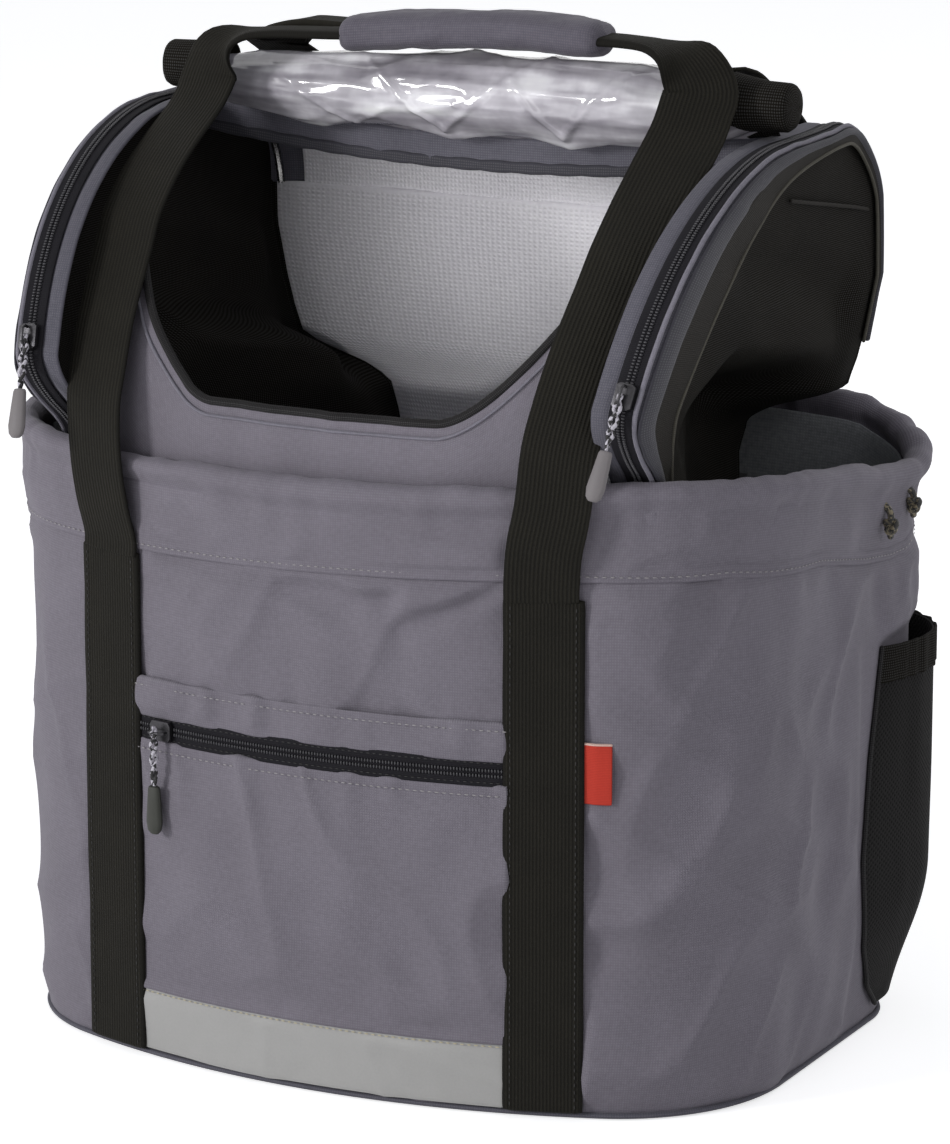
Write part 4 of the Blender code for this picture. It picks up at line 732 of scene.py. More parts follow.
def rim():
    """Folded casing over the tub's top edge, puckered by the cord inside it."""
    step, down, ply = 2.2 * MM, 1.2 * MM, 0.9 * MM
    t, left = ring_stations(step)
    rear = int(np.argmax(t))
    t, left = np.roll(t, -rear), np.roll(left, -rear)
    middle, reach = -PANEL / 2, PANEL / 2 + 1.5 * MM
    top, bulb = RIM_Z - BULB, BULB + 0.5 * MM
    foot_out, foot_in = HEM_Z - 2.2 * MM, HEM_Z + 4 * MM
    turn = np.linspace(-0.55, math.pi + 0.55, 22)
    path = [(middle + reach, z) for z in np.linspace(foot_out, top - 7 * MM, 12)]
    path += [(middle + bulb * math.cos(a), top + bulb * math.sin(a)) for a in turn]
    path += [(middle - reach, z) for z in np.linspace(top - 7 * MM, foot_in, 9)]
    path = spline(path, down)
    ahead = np.gradient(path, axis=0)
    out_x, out_z = unit(np.stack([ahead[:, 1], -ahead[:, 0]], 1)).T[:, :, None]
    s = np.arange(len(t)) * step
    r = (np.arange(len(path)) * down)[:, None]
    off, z = path.T[:, :, None] + 0 * t
    height = smooth((z - HEM_Z) / 0.030)
    drawn = 1 + 1.3 * smooth((t - 3.1) / 0.5) * smooth((4.9 - t) / 0.5) * ~left
    pucker = 0.7 * MM * drawn * (noise(s / 0.0065, r / 0.030, 5) + noise(s / 0.017, r / 0.016, 6))
    sag = 1.9 * MM * noise(s / 0.070, r / 0.045, 8)
    sag += 2.4 * MM * (crease(s / 0.042 + r / 0.03, r / 0.05, 9) - 0.4)
    sag += 1.6 * MM * (crease(s / 0.030 - r / 0.05, r / 0.04, 10) - 0.4)
    d = pucker * (0.35 + 0.65 * height)
    d += np.where(off < middle, 0.2, 1.0) * sag * (1 - 0.6 * height)
    d = np.where(z < HEM_Z + 3 * MM, d * 0.25, d)
    # the roll at the top stands out over a drawn-in neck, most at the right rear
    rolled = 0.8 + 0.5 * smooth((t - 2.6) / 0.4) * ~left
    neck = np.exp(-((z - (top - 11 * MM)) / 0.0045) ** 2) * np.where(off > middle, 1.0, 0.6)
    d = d + MM * rolled * (smooth((z - (top - 7 * MM)) / 0.005) * 0.9 - 0.5 * neck)
    d = d * smooth(np.minimum(s, s[-1] - s) / 0.012)
    across = shell(t, 0.24)[:, 0]
    under = smooth((across - 0.083) / 0.004) * smooth((0.121 - across) / 0.004) * (t < 2)
    d = blend(d, np.minimum(d, 0.1 * MM), under)
    z = z + blend(hem_rise(t, left), top_rise(t, left), height)

    def face(d):
        return shell(t, z + d * out_z, off + d * out_x, left)
    made = cloth("rim_casing_cloth", face(d), face(d - ply), GREY, wrap=True)
    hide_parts("rim_casing")


def outward(line):
    """Outward direction of each point of a line that runs round the tub."""
    ahead = np.gradient(line, axis=0)
    ahead[:, 2] = 0
    ahead = unit(ahead)
    out = np.stack([ahead[:, 1], -ahead[:, 0], np.zeros(len(line))], 1)
    out[(line * out).sum(1) < 0] *= -1
    return out


def base():
    t, left = ring_stations(3 * MM)
    rings = [shell(t, z * MM, off * MM, left) for z, off in
             ((0.0, -2.5), (0.0, -1.2), (0.6, -0.3), (1.6, -0.3), (2.0, -1.5))]
    made = lofted("base_cloth", rings, GREY_DEEP)
    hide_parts("base_panel")
    path = shell(t, 1.5 * MM, -0.9 * MM, left)
    made = cord("base_edge_piping", path, 1.2 * MM, GREY_DEEP, closed=True, sides=10)
    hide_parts("base_piping")


def sewn_straps():
    near, far = STRAP_X - WEBBING / 2, STRAP_X + WEBBING / 2
    for _, side, tag in SIDES:
        z = span(0.0040, SEWN_TOP, 2 * MM)[:, None]
        xs = np.linspace(near, far, 13) * side
        wave = 0.5 * MM * np.abs(noise(z / 0.045, xs / 0.03, 11 + side))
        made = front_cloth("front_webbing_" + tag, xs, z, GAP + STRAP_THICK + 0.7 * MM + wave,
                           GAP - 0.2 * MM, WEB, edge=4)
        swap_uv(made)
        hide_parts("front_strap_" + tag)
        z = span(0.0560, SEWN_TOP, 3 * MM)[:, None]
        xs = np.linspace(near, far, 9) * side
        y = BACK_REACH + GAP + SHIFT_Y
        made = cloth("rear_webbing_" + tag, points_at(xs, y + STRAP_THICK, z), points_at(xs, y, z),
                     WEB, edge=4)
        swap_uv(made)
        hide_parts("rear_strap_" + tag)


def swap_uv(made):
    """Turns the UV a quarter, so that webbing ribs lie across its length."""
    layer = made.data.uv_layers[0].data
    uv = np.zeros(len(layer) * 2)
    layer.foreach_get("uv", uv)
    layer.foreach_set("uv", uv.reshape(-1, 2)[:, ::-1].ravel())


FRONT_LEG = ((0.0, 0.0, 0.0), (0.0, 0.0, 0.03), (0.3, 0.093, 0.1015), (0.6, 0.12, 0.186),
             (0.83, 0.06, 0.293), (1.02, -0.167, 0.3636), (1.22, -0.481, 0.434),
             (1.43, -0.87, 0.504), (1.66, -1.30, 0.574), (1.88, -1.74, 0.644),
             (2.03, -2.37, 0.710), (2.11, -3.11, 0.775), (2.13, -3.81, 0.836),
             (2.10, -4.15, 0.878), (2.04, -4.35, 0.916))
REAR_LEG = ((0.0, 0.0, 0.0), (0.0, 0.0, 0.03), (0.3, 0.04, 0.1035), (0.6, 0.06, 0.189),
            (1.0, 0.03, 0.37), (1.0, -0.026, 0.513), (1.0, -0.14, 0.633), (1.0, -0.48, 0.728),
            (1.0, -1.08, 0.80), (1.0, -1.74, 0.857), (1.0, -2.45, 0.905), (0.98, -3.05, 0.943))
FRONT_TURN = ((1.018, 0.9625), (0.922, 0.9906), (0.77, 1.0))
TURN = ((0.94, 0.95), (0.84, 0.985), (0.72, 1.0))
LEG_BOW, FOLD_WIDE, FOLD_THICK, REAR_BAR_Y, REAR_DROP = 0.027, 0.016, 0.0034, 0.024, 0.004


def handle_line(start_y, sign, legs, bar_y, bar_z, turns, twists):
    """Rows of x, y, z, width, thickness and width direction of a webbing loop. The
    worn front loop's legs have turned by different amounts."""
    foot = SEWN_TOP + GAP
    rise = bar_z - foot
    lie = math.asin(STRAP_X / FRONT_RADIUS) if sign < 0 else 0.0
    sides = []
    for twist, shift in twists:
        half = []
        for wide, bow, up in legs:
            turn = blend(lie, twist, float(smooth((up - 0.12) / 0.45)))
            moved = shift * float(smooth((up - 0.08) / 0.15) * smooth((0.80 - up) / 0.20))
            half.append([blend(STRAP_X, LOOP_X, wide) + moved, start_y + sign * LEG_BOW * bow,
                         foot + rise * up, WEBBING, STRAP_THICK, math.cos(turn), math.sin(turn), 0])
        last = half[-1][1]
        for k, (x, up) in enumerate(turns):
            part = (k + 1) / 3
            half.append([LOOP_X * x, blend(last, bar_y, float(smooth(part))), foot + rise * up,
                         blend(WEBBING, FOLD_WIDE, part), blend(STRAP_THICK, FOLD_THICK, part),
                         1 - part, -sign * part, 0])
        sides.append(half)
    middle = [[LOOP_X * s, bar_y, bar_z, FOLD_WIDE, FOLD_THICK, 0, -sign, 0]
              for s in (0.45, 0.25, 0.0, -0.25, -0.45)]
    rest = [[-p[0], *p[1:5], -p[5], p[6], p[7]] for p in reversed(sides[1])]
    whole = np.array(sides[0] + middle + rest, float)
    for k in range(1, len(whole)):
        if whole[k, 5:8].dot(whole[k - 1, 5:8]) < 0:
            whole[k, 5:8] *= -1
    return whole


def droop_left(x, z):
    """The front loop's bar hangs lower at its left end."""
    return 7.0 * MM * smooth((0.045 - x) / 0.150) * smooth((z - 0.370) / 0.050)


def handle(name, whole, body, node, seed):
    """Webbing along a loop, slightly crowned and rippled."""
    line = spline(whole, 2.4 * MM)
    path, wide, thick = line[:, :3], line[:, 3, None, None], line[:, 4, None, None]
    outs = np.cross(unit(line[:, 5:8]), unit(np.gradient(path, axis=0)))
    path[:, 1] += SHIFT_Y
    if body == "front_handle":
        path[:, 2] -= droop_left(path[:, 0], path[:, 2])
    ahead = unit(np.gradient(path, axis=0))
    outs = unit(outs - ahead * (outs * ahead).sum(1, keepdims=True))
    across, outs = np.cross(ahead, outs)[:, None], outs[:, None]
    shares = np.linspace(-0.5, 0.5, 9)[:, None]
    s = summed(lengths(path))[:, None, None]
    ripple = 0.5 * MM * noise(s / 0.030, shares * 1.3, seed)
    middle = path[:, None] + across * shares * wide + outs * ripple
    outer = middle + outs * thick * (0.5 + 0.12 * (1 - (2 * shares) ** 6))
    inner = middle - outs * thick / 2
    made = cloth(name, outer.transpose(1, 0, 2), inner.transpose(1, 0, 2), WEB, body, edge=4)
    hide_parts(node)


def handles():
    a = math.asin(STRAP_X / FRONT_RADIUS)
    front_y = (FRONT_RADIUS - FRONT_REACH - (FRONT_RADIUS + GAP + STRAP_THICK / 2) * math.cos(a)
               - STRAP_THICK)
    whole = handle_line(front_y, -1, FRONT_LEG, 0.0, LOOP_TOP, FRONT_TURN,
                        ((0.50, 2.5 * MM), (0.22, 0.0)))
    handle("front_loop_webbing", whole, "front_handle", "front_handle_loop", 21)
    whole = handle_line(BACK_REACH + GAP + STRAP_THICK * 1.5, 1, REAR_LEG, REAR_BAR_Y,
                        LOOP_TOP - REAR_DROP, TURN, ((0.0, 0.0), (0.0, 0.0)))
    handle("rear_loop_webbing", whole, "rear_handle", "rear_handle_loop", 22)


def grip():
    """Padded sleeve on the front loop's bar, drawn in a little at its ends."""
    share = np.linspace(-1, 1, 61)[:, None]
    a = np.arange(40) * math.tau / 40
    c, s = squircle(a, 2.6)
    x = 0.012 + 0.063 * share
    end = np.sqrt(1 - np.abs(share) ** 26)
    swell = (0.92 + 0.08 * end) * end
    d = 0.5 * MM * noise(x / 0.022, a * 1.1, 41) + 0.4 * MM * noise(x / 0.006, a * 2, 42)
    d -= 0.8 * MM * crease(x / 0.020 + a, a * 1.5, 43)
    level = LOOP_TOP - droop_left(x, LOOP_TOP) + 0.0018 * (1 - share ** 2)
    rings = points_at(x, SHIFT_Y + (0.0135 * swell + d) * c, level + (0.0083 * swell + d) * s)
    made = lofted("grip_sleeve", rings, GRIP_CLOTH, "front_handle")
    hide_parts("handle_grip")


TRIM_EDGE = STRAP_X - WEBBING / 2 - GAP


def front_trim():
    xs = span(-TRIM_EDGE, TRIM_EDGE, 2 * MM)
    z = span(0.0040, 0.0320, 2 * MM)[:, None]
    wave = 0.5 * MM * (1 + noise(xs / 0.03, z / 0.02, 61))
    wave += 1.1 * MM * crease(xs / 0.024 + z / 0.04, z / 0.03, 62)
    wave = wave * smooth((0.0315 - z) / 0.006)
    made = front_cloth("reflective_tape", xs, z, 0.9 * MM + wave, 0.3 * MM, REFLECT, edge=2)
    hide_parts("reflective_strip")
    tape_half = 5.5 * MM
    low = ZIP_Z - tape_half
    z = span(0.0316, low - 0.4 * MM, 1.8 * MM)[:, None]
    xs = span(-TRIM_EDGE, TRIM_EDGE, 1.8 * MM)
    up, down, side = low - z, z - 0.032, TRIM_EDGE - np.abs(xs)
    dome = smooth(up / 0.03) * smooth(down / 0.03) * smooth(side / 0.035)
    d = 1.2 * MM + 2.6 * MM * dome * (0.75 + 0.45 * noise(xs / 0.07, z / 0.06, 63))
    d += 2.4 * MM * np.exp(-up / 0.018) * noise(xs / 0.0095, z / 0.05, 64)
    d += 1.2 * MM * np.exp(-down / 0.012) * noise(xs / 0.012, z / 0.05, 65)
    d += 2.0 * MM * np.exp(-side / 0.018) * noise(z / 0.015, xs / 0.05, 66)
    d += 3.4 * MM * (crease(xs / 0.030 + z / 0.09, z / 0.070, 69) - 0.30) * smooth(down / 0.02)
    d += 3.8 * MM * (crease((xs * 0.8 + z) / 0.036, (xs - z) / 0.09, 67) - 0.30) * dome
    d += 1.4 * MM * dome * noise(xs / 0.016, z / 0.026, 71)
    d = np.minimum(d, 6.5 * MM)
    d = blend(1.9 * MM, d, smooth((z - 0.0320) / 0.004))
    made = front_cloth("pocket_face", xs, z, GAP + np.maximum(d, 0.5 * MM), GAP, GREY)
    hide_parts("front_pocket_face")
    foot = ZIP_Z + 5.2 * MM
    z = span(foot, 0.1690, 1.5 * MM)[:, None]
    above = z - foot
    d = 1.2 * MM + 0.8 * MM * np.sin(np.clip(above / 0.0158, 0, 1) * math.pi)
    d = d + 2.0 * MM * noise(xs / 0.0085, z / 0.04, 68) * (0.25 + 0.75 * smooth(above / 0.006))
    made = front_cloth("pocket_welt", xs, z, GAP + np.maximum(d, 0.5 * MM), GAP, GREY)
    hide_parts("front_pocket_welt")
    z = span(low, ZIP_Z + tape_half, 1.5 * MM)[:, None]
    xs = span(-TRIM_EDGE, TRIM_EDGE, 3 * MM)
    made = front_cloth("pocket_zip_tape", xs, z, 1.3 * MM, 0.3 * MM, TAPE, edge=2)
    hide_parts("front_zip_tape")
    start = STRAP_X + WEBBING / 2 + GAP
    xs = span(start - 1 * MM, start + 0.0112, 1.2 * MM)
    z = span(ZIP_Z - 0.0105, ZIP_Z + 0.0145, 1.5 * MM)[:, None]
    lift = 1.6 * MM * smooth((xs - start) / 0.006) + 0.4 * MM * noise(z / 0.01, xs / 0.01, 70)
    made = front_cloth("side_label", xs, z, 1.5 * MM + lift, 0.5 * MM + lift, RED_LABEL)
    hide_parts("side_tab")
    path = spline(front_at(xs, z, 1.0 * MM + lift)[-1], 1 * MM)
    made = cord("side_label_fold", path, 0.65 * MM, PALE_LABEL)


def front_line(z, off):
    return spline(front_at(np.linspace(-TRIM_EDGE, TRIM_EDGE, 60), z, off), 1.2 * MM)


def seams():
    """Stitch rows: hem round the tub, pocket, strip and webbing edges."""
    stitch = (2.1 * MM, 0.55 * MM, 0.45 * MM)
    t = np.linspace(0.845, 4.55, 90)
    lines = [spline(shell(t, HEM_Z + hem_rise(t, left), 1.7 * MM, left), 1.5 * MM)
             for left, _, _ in SIDES]
    line = front_line(HEM_Z, 1.7 * MM)
    line[:, 2] += hem_rise(front_share(np.abs(line[:, 0]), HEM_Z), line[:, 0] < 0)
    made = row("hem_stitches", lines + [line], 3.4 * MM, stitch, THREAD)
    lines = [front_line(0.1665, 3.1 * MM), front_line(0.1385, 2.6 * MM)]
    made = row("pocket_stitches", lines, 3.2 * MM, stitch, THREAD)
    made = row("strip_stitches", [front_line(0.0300, 2.1 * MM)], 3.0 * MM,
               (2.0 * MM, 0.6 * MM, 0.5 * MM), THREAD_CREAM)
    lines = [front_line(ZIP_Z + side * 1.15 * MM, 1.75 * MM) for side in (-1, 1)]
    made = row("pocket_zip_coil", lines, 1.35 * MM, (1.0 * MM, 1.9 * MM, 1.1 * MM), COIL)
    lines = [front_line(ZIP_Z + side * 4.2 * MM, 1.45 * MM) for side in (-1, 1)]
    made = row("pocket_zip_stitches", lines, 2.8 * MM, (1.8 * MM, 0.5 * MM, 0.4 * MM), THREAD_DARK)
    lines, ups = [], []
    inset = WEBBING / 2 - 2 * MM
    for x in (-STRAP_X + inset, -STRAP_X - inset, STRAP_X - inset, STRAP_X + inset):
        lines.append(spline(front_at(x, np.linspace(0.006, 0.219, 90), GAP + 2.85 * MM), 1.5 * MM))
        a = math.asin(x / FRONT_RADIUS)
        ups.append((math.sin(a), -math.cos(a), 0))
    made = row("webbing_stitches", lines, 3.2 * MM, (2.0 * MM, 0.5 * MM, 0.4 * MM), THREAD_DARK,
               ups)


HOOD_TOP = ARC_Z + ARC_RISE
HOOD_BEND_Y, HOOD_FOOT = HOOD_BACK_Y - HOOD_CORNER, HOOD_TOP - HOOD_CORNER - 6 * MM
REAR_CURVE = [(HOOD_BEND_Y + HOOD_CORNER * math.sin(a), HOOD_TOP - HOOD_CORNER * (1 - math.cos(a)))
              for a in np.linspace(0, math.pi / 2, 9)] + [(HOOD_BACK_Y, HOOD_FOOT)]
TUCK_SHARES = ((0.0, -0.84), (0.0, -0.3), (0.02, 0.0), (0.22, 0.22), (0.62, 0.50), (0.90, 0.76))


def lean_x(z, y=0.0):
    """Sideways place of the zip's middle; at the rear the hood is drawn in at its
    top and stands out lower down."""
    rear = smooth((np.asarray(y) - 0.040) / 0.060)
    by = np.interp(z, (0.290, 0.325, 0.360, 0.380, 0.395), (0.5, 3.5, 0.0, -3.5, -5.0))
    return BAND_X_FOOT + LEAN * z + rear * by * MM


def with_normals(line):
    """A fore-and-aft line of y and z, and its outward normals."""
    ahead = unit(np.gradient(line, axis=0))
    return line, np.stack([-ahead[:, 1], ahead[:, 0]], 1)


def profile(step=2 * MM):
    """The hood's outline from its front foot over its top to its rear."""
    start = math.asin((TUCK_TOP_Z - ARC_Z) / ARC_RISE)
    arc_y = ARC_Y - ARC_RADIUS * math.cos(start)
    line = [(blend(-TUCK_Y, arc_y, a), TUCK_Z + (TUCK_TOP_Z - TUCK_Z) * b) for a, b in TUCK_SHARES]
    line += [(ARC_Y - ARC_RADIUS * math.cos(a), ARC_Z + ARC_RISE * math.sin(a))
             for a in np.linspace(start, math.pi / 2, 26)]
    line += [(y, HOOD_TOP) for y in np.linspace(ARC_Y, HOOD_BEND_Y, 9)[1:-1]]
    return with_normals(spline(line + REAR_CURVE, step))


def on_band(line, out, x, off, left):
    """Points over the hood's band: x from the zip's middle, off outwards."""
    y, z = line.T[:, :, None]
    out_y, out_z = out.T[:, :, None]
    x = lean_x(z, y) + x
    return points_at(-x if left else x, y + out_y * off + SHIFT_Y, z + out_z * off)


def hood_edges():
    line, out = profile()
    s = np.arange(len(line))[:, None] * 2 * MM
    zip_line, zip_out = line[9:], out[9:]
    for left, _, tag in SIDES:
        x = np.linspace(-13.0, 7.0, 15) * MM
        d = 0.35 * MM * noise(s / 0.012, x / 0.02, 81) + 1.3 * MM * smooth((-6 * MM - x) / (2 * MM))
        d -= 1.6 * MM * smooth((x - 4.5 * MM) / (2.5 * MM))
        made = cloth("hood_edge_" + tag, on_band(line, out, x, d, left),
                     on_band(line, out, x, d - 1.4 * MM, left), GREY_DEEP)
        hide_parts("hood_band_" + tag)
        x = np.linspace(-5.4, 5.4, 7) * MM
        made = cloth("hood_zip_tape_" + tag, on_band(zip_line, zip_out, x, 1.25 * MM, left),
                     on_band(zip_line, zip_out, x, 0.45 * MM, left), TAPE, edge=2)
        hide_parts("side_zip_tape_" + tag)
        lines, ups = [], []
        for side in (-1, 1):
            coil = on_band(zip_line, zip_out, side * 1.05 * MM, 1.75 * MM, left)[:, 0]
            lines.append(spline(coil, 1 * MM))
            ups.append(np.cross(unit(np.gradient(lines[-1], axis=0)), (-1, 0, 0)))
        made = row("hood_zip_coil_" + tag, lines, 1.35 * MM, (1.0 * MM, 1.9 * MM, 1.2 * MM), COIL,
                   ups)
        wave = 0.3 * MM * noise(s / 0.010, 0.3, 83)
        path = spline(on_band(line, out, 5.9 * MM, 0.9 * MM + wave, left)[:, 0], 2 * MM)
        made = cord("hood_piping_" + tag, path, 1.1 * MM, LIGHT_PIPING, sides=10)


BINDING_OUTER = ((-0.73, 0.068), (-0.80, 0.13), (-0.90, 0.215), (-0.945, 0.33), (-0.766, 0.643),
                 (-0.50, 0.866), (-0.174, 0.985), (0.388, 1.0), (0.600, 0.998), (0.790, 0.950),
                 (0.952, 0.815), (1.003, 0.56), (1.013, 0.27))
BINDING_INNER = ((-0.64, 0.068), (-0.63, 0.15), (-0.60, 0.24), (-0.53, 0.33), (-0.30, 0.56),
                 (-0.15, 0.72), (0.027, 0.83), (0.388, 0.895), (0.560, 0.890), (0.700, 0.845),
                 (0.835, 0.71), (0.889, 0.50), (0.909, 0.27))


def binding():
    """Grey side fold and black webbing that close the hood's edge over its wall."""
    rows, edges = 170, []
    for table in (BINDING_OUTER, BINDING_INNER):
        edge = spline([(ARC_Y + (ARC_RADIUS if y < 0 else HOOD_BACK_Y - ARC_Y) * y,
                        ARC_Z + ARC_RISE * z) for y, z in table], 0.5 * MM)
        edges.append(edge[np.linspace(0, len(edge) - 1, rows).astype(int)].T[:, :, None])
    along = np.arange(rows)[:, None]
    reach = np.interp(along / (rows - 1), (0, 0.40, 0.60, 0.70, 1), (0.70, 0.64, 0.46, 0.38, 0.55))

    def grid(low, high, count):
        share = np.linspace(low, high, count) * reach
        return *blend(*edges, share), share
    for _, side, tag in SIDES:
        def face(y, z, off):
            return points_at(side * (lean_x(z, y) + 7.3 * MM + off), y + SHIFT_Y, z)
        y, z, share = grid(0.38, 1.0, 10)
        crest = 1.3 * MM + 0.45 * MM * noise(along / 7.0, share * 1.5, 87)
        made = cloth("hood_binding_tape_" + tag, face(y, z, crest), face(y, z, 0.3 * MM), BINDING_WEB)
        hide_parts("hood_binding_" + tag)
        edge = spline(face(y, z, 1.2 * MM)[:, -1], 2 * MM)
        made = cord("hood_binding_edge_" + tag, edge, 0.8 * MM, OLIVE)
        y, z, share = grid(0.02, 0.42, 7)
        swell = 1.5 * MM + 0.7 * MM * np.sin(np.linspace(0.1, 3.0, 7))
        swell = swell + 0.25 * MM * noise(along / 5.0, share * 6, 88)
        made = cloth("hood_side_fold_" + tag, face(y, z, swell), face(y, z, 0.4 * MM), GREY_DARK)


POCKET_DEPTH, FOLD_LOW, SPLAY, WALL_FOOT, PLY = 0.056, 0.250, 0.044, 0.007, 0.0016


def wall_x(share, z, y=HOOD_BACK_Y):
    """Sideways place of the hood's side wall, drawn in below its fold."""
    high = np.interp(y, (-0.090, -0.020, 0.040, 0.107), (0.300, 0.318, 0.304, 0.297))
    deep = np.interp(y, (-0.090, -0.020, 0.040, 0.107), (0.050, 0.024, 0.022, 0.040))
    rear = smooth(share * 1.15)
    inward = POCKET_DEPTH * rear * smooth((high - z) / deep) ** 1.25
    splay = SPLAY * smooth((FOLD_LOW - z) / FOLD_LOW) * rear
    corner = MM * np.interp(z, (0.215, 0.240, 0.256, 0.262, 0.268, 0.2737, 0.2878, 0.3008),
                            (56.0, 55.0, 50.0, 40.0, 20.0, 4.5, 1.0, 0.0))
    inward = blend(inward, corner, smooth((y - 0.055) / 0.045))
    return lean_x(np.maximum(z, TUCK_Z), y) + 7 * MM - inward + splay


def rear_face(z):
    """Fore-and-aft place of the cabin's rear wall, in front of the tub's lower back."""
    return np.minimum(HOOD_BACK_Y, back_reach(z) - PANEL - 2 * GAP)


def side_walls():
    line, out = profile(1 * MM)
    inset, bend = 2.5 * MM, HOOD_CORNER - 2.6 * MM
    deep = line - out * inset
    zs = np.concatenate([span(WALL_FOOT, TUCK_Z, 4 * MM)[:-1],
                         span(TUCK_Z, HOOD_TOP - inset - GAP, 2.4 * MM)])
    front = deep[:np.argmax(deep[:, 1]) + 1]
    near = np.where(zs <= TUCK_Z, -0.086, np.interp(zs, front[:, 1], front[:, 0]))
    drop = np.clip((zs - (HOOD_TOP - HOOD_CORNER)) / bend, 0, 1)
    far = np.where(zs < TUCK_Z, rear_face(zs) - 2.6 * MM,
                   HOOD_BACK_Y - 0.5 * MM - bend * (1 - np.sqrt(1 - drop * drop)))
    share = np.linspace(0, 1, 66)
    y = blend(near[:, None], far[:, None], share)
    z = zs[:, None]
    for _, side, tag in SIDES:
        d = -1.2 * MM * (1 + noise(y / 0.05, z / 0.045, 91)) * smooth((z - 0.25) / 0.02)
        lower = smooth((0.335 - z) / 0.05)
        d -= 1.1 * MM * (1 + noise((y + z) / 0.022, (y - z) / 0.08, 92)) * lower
        line_z = np.interp(y, (-0.031, 0.031, 0.097), (0.353, 0.338, 0.314))
        d -= 5.0 * MM * smooth((y + 0.045) / 0.03) * np.exp(-((z - line_z) / 0.013) ** 2)
        d = blend(d, np.maximum(d, -0.5 * MM), smooth((y - 0.085) / 0.02))
        x = wall_x(share, z, y)

        def face(off):
            return points_at(side * (x + off), y + SHIFT_Y, z)
        made = cloth("cabin_wall_" + tag, face(d), face(d - PLY), BLACK_CLOTH)
        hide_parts("hood_side_wall_" + tag)
        flat_size(face(d))
        ys = np.linspace(0.012, 0.098, 40)
        seam_z = np.interp(ys, (0.008, 0.084, 0.10), (0.3726, 0.3584, 0.355))
        path = points_at(side * (lean_x(seam_z, ys) + 6.6 * MM), ys + SHIFT_Y, seam_z)
        made = cord("cabin_wall_seam_" + tag, spline(path, 2 * MM), 0.9 * MM, BINDING_WEB)


def back_wall():
    """Black outside and pale lining of the cabin's rear, with a bound corner seam."""
    z = span(WALL_FOOT, HOOD_FOOT - GAP, 4 * MM)[:, None]
    w = np.linspace(-1, 1, 60)
    y = rear_face(z)
    half = wall_x(1.0, z) - PLY
    x = half * w
    d = 1.2 * MM * (1 + noise(x / 0.045, z / 0.05, 95))
    d += 0.5 * MM * (1 + noise(x / 0.014, z / 0.05, 96))
    d *= smooth((1 - np.abs(w)) / 0.1)

    def face(inward, narrow=1.0):
        return points_at(x * narrow, y - inward + SHIFT_Y, z)
    made = cloth("cabin_back_shell", face(0.0), face(0.9 * MM), BLACK_CLOTH)
    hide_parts("hood_back_wall")
    made = cloth("cabin_back_lining", face(1.1 * MM, 0.975), face(1.9 * MM + d, 0.975), PLUSH)
    for _, side, tag in SIDES[::-1]:
        path = points_at(side * (half + 0.2 * MM), y - 1.2 * MM + SHIFT_Y, z)[2:, 0]
        made = cord("cabin_corner_seam_" + tag, spline(path, 3 * MM), 1.3 * MM, BLACK_CLOTH)


ROOF_FRONT_Y, ROOF_SAG, ROOF_BAND, ROOF_INSET = 0.030, 0.009, 0.012, 0.0133


def roof():
    """Grey roof with its pale lining, and the folded band along its sagging front."""
    flat = [(y, HOOD_TOP) for y in np.linspace(ROOF_FRONT_Y, HOOD_BEND_Y, 12)[:-1]]
    line, out = with_normals(spline(flat + REAR_CURVE, 2.5 * MM))
    (y, z), (out_y, out_z) = line.T[:, :, None], out.T[:, :, None]
    w = np.linspace(-1, 1, 91)
    arch = 1 - w * w
    share = np.clip((y - ROOF_FRONT_Y) / (HOOD_BEND_Y - ROOF_FRONT_Y), 0, 1)
    behind = 2.5 * MM * smooth(share * 3) * smooth((1 - share) * 3)
    sag = arch * (ROOF_SAG * (1 - smooth(share)) + behind)
    x = (lean_x(z, y) - ROOF_INSET) * w
    d = 0.8 * MM * noise(x / 0.05, y / 0.03 + z / 0.03, 97)
    d += 0.4 * MM * noise(x / 0.012, y / 0.04, 98)

    def face(off):
        return points_at(x, y + out_y * off + SHIFT_Y, z + out_z * off - sag)
    made = cloth("roof_cloth", face(d), face(d - PLY), GREY)
    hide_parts("hood_roof")
    flat_size(face(d))
    made = cloth("roof_lining", face(d - 1.9 * MM), face(d - 2.9 * MM), PLUSH)
    x = (lean_x(HOOD_TOP) - ROOF_INSET) * w
    level = HOOD_TOP - ROOF_SAG * arch

    def front(off, down):
        return points_at(x, ROOF_FRONT_Y - 0.3 * MM + SHIFT_Y - off, level - down)
    z = np.linspace(0, ROOF_BAND, 8)[:, None]
    d = 0.9 * MM * noise(x / 0.012, z / 0.012, 99) + 0.5 * MM * noise(x / 0.005, z / 0.02, 100)
    made = cloth("roof_front_fold", front(2.0 * MM + d, z), front(0.2 * MM, z), GREY_DEEP)
    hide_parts("roof_front_band")
    z = np.linspace(ROOF_BAND - 1.5 * MM, ROOF_BAND + 1.4 * MM, 5)[:, None]
    z = z + (z - ROOF_BAND) / 1.4 * 0.45 * np.abs(np.sin(x / 0.0052))
    made = cloth("roof_front_binding", front(2.8 * MM, z), front(1.0 * MM, z), GREY_DARK)


BIB_HALF, BIB_LOW, BIB_HIGH, BIB_FLAT, BIB_FOOT = 0.119, 0.291, 0.364, 0.054, 0.205


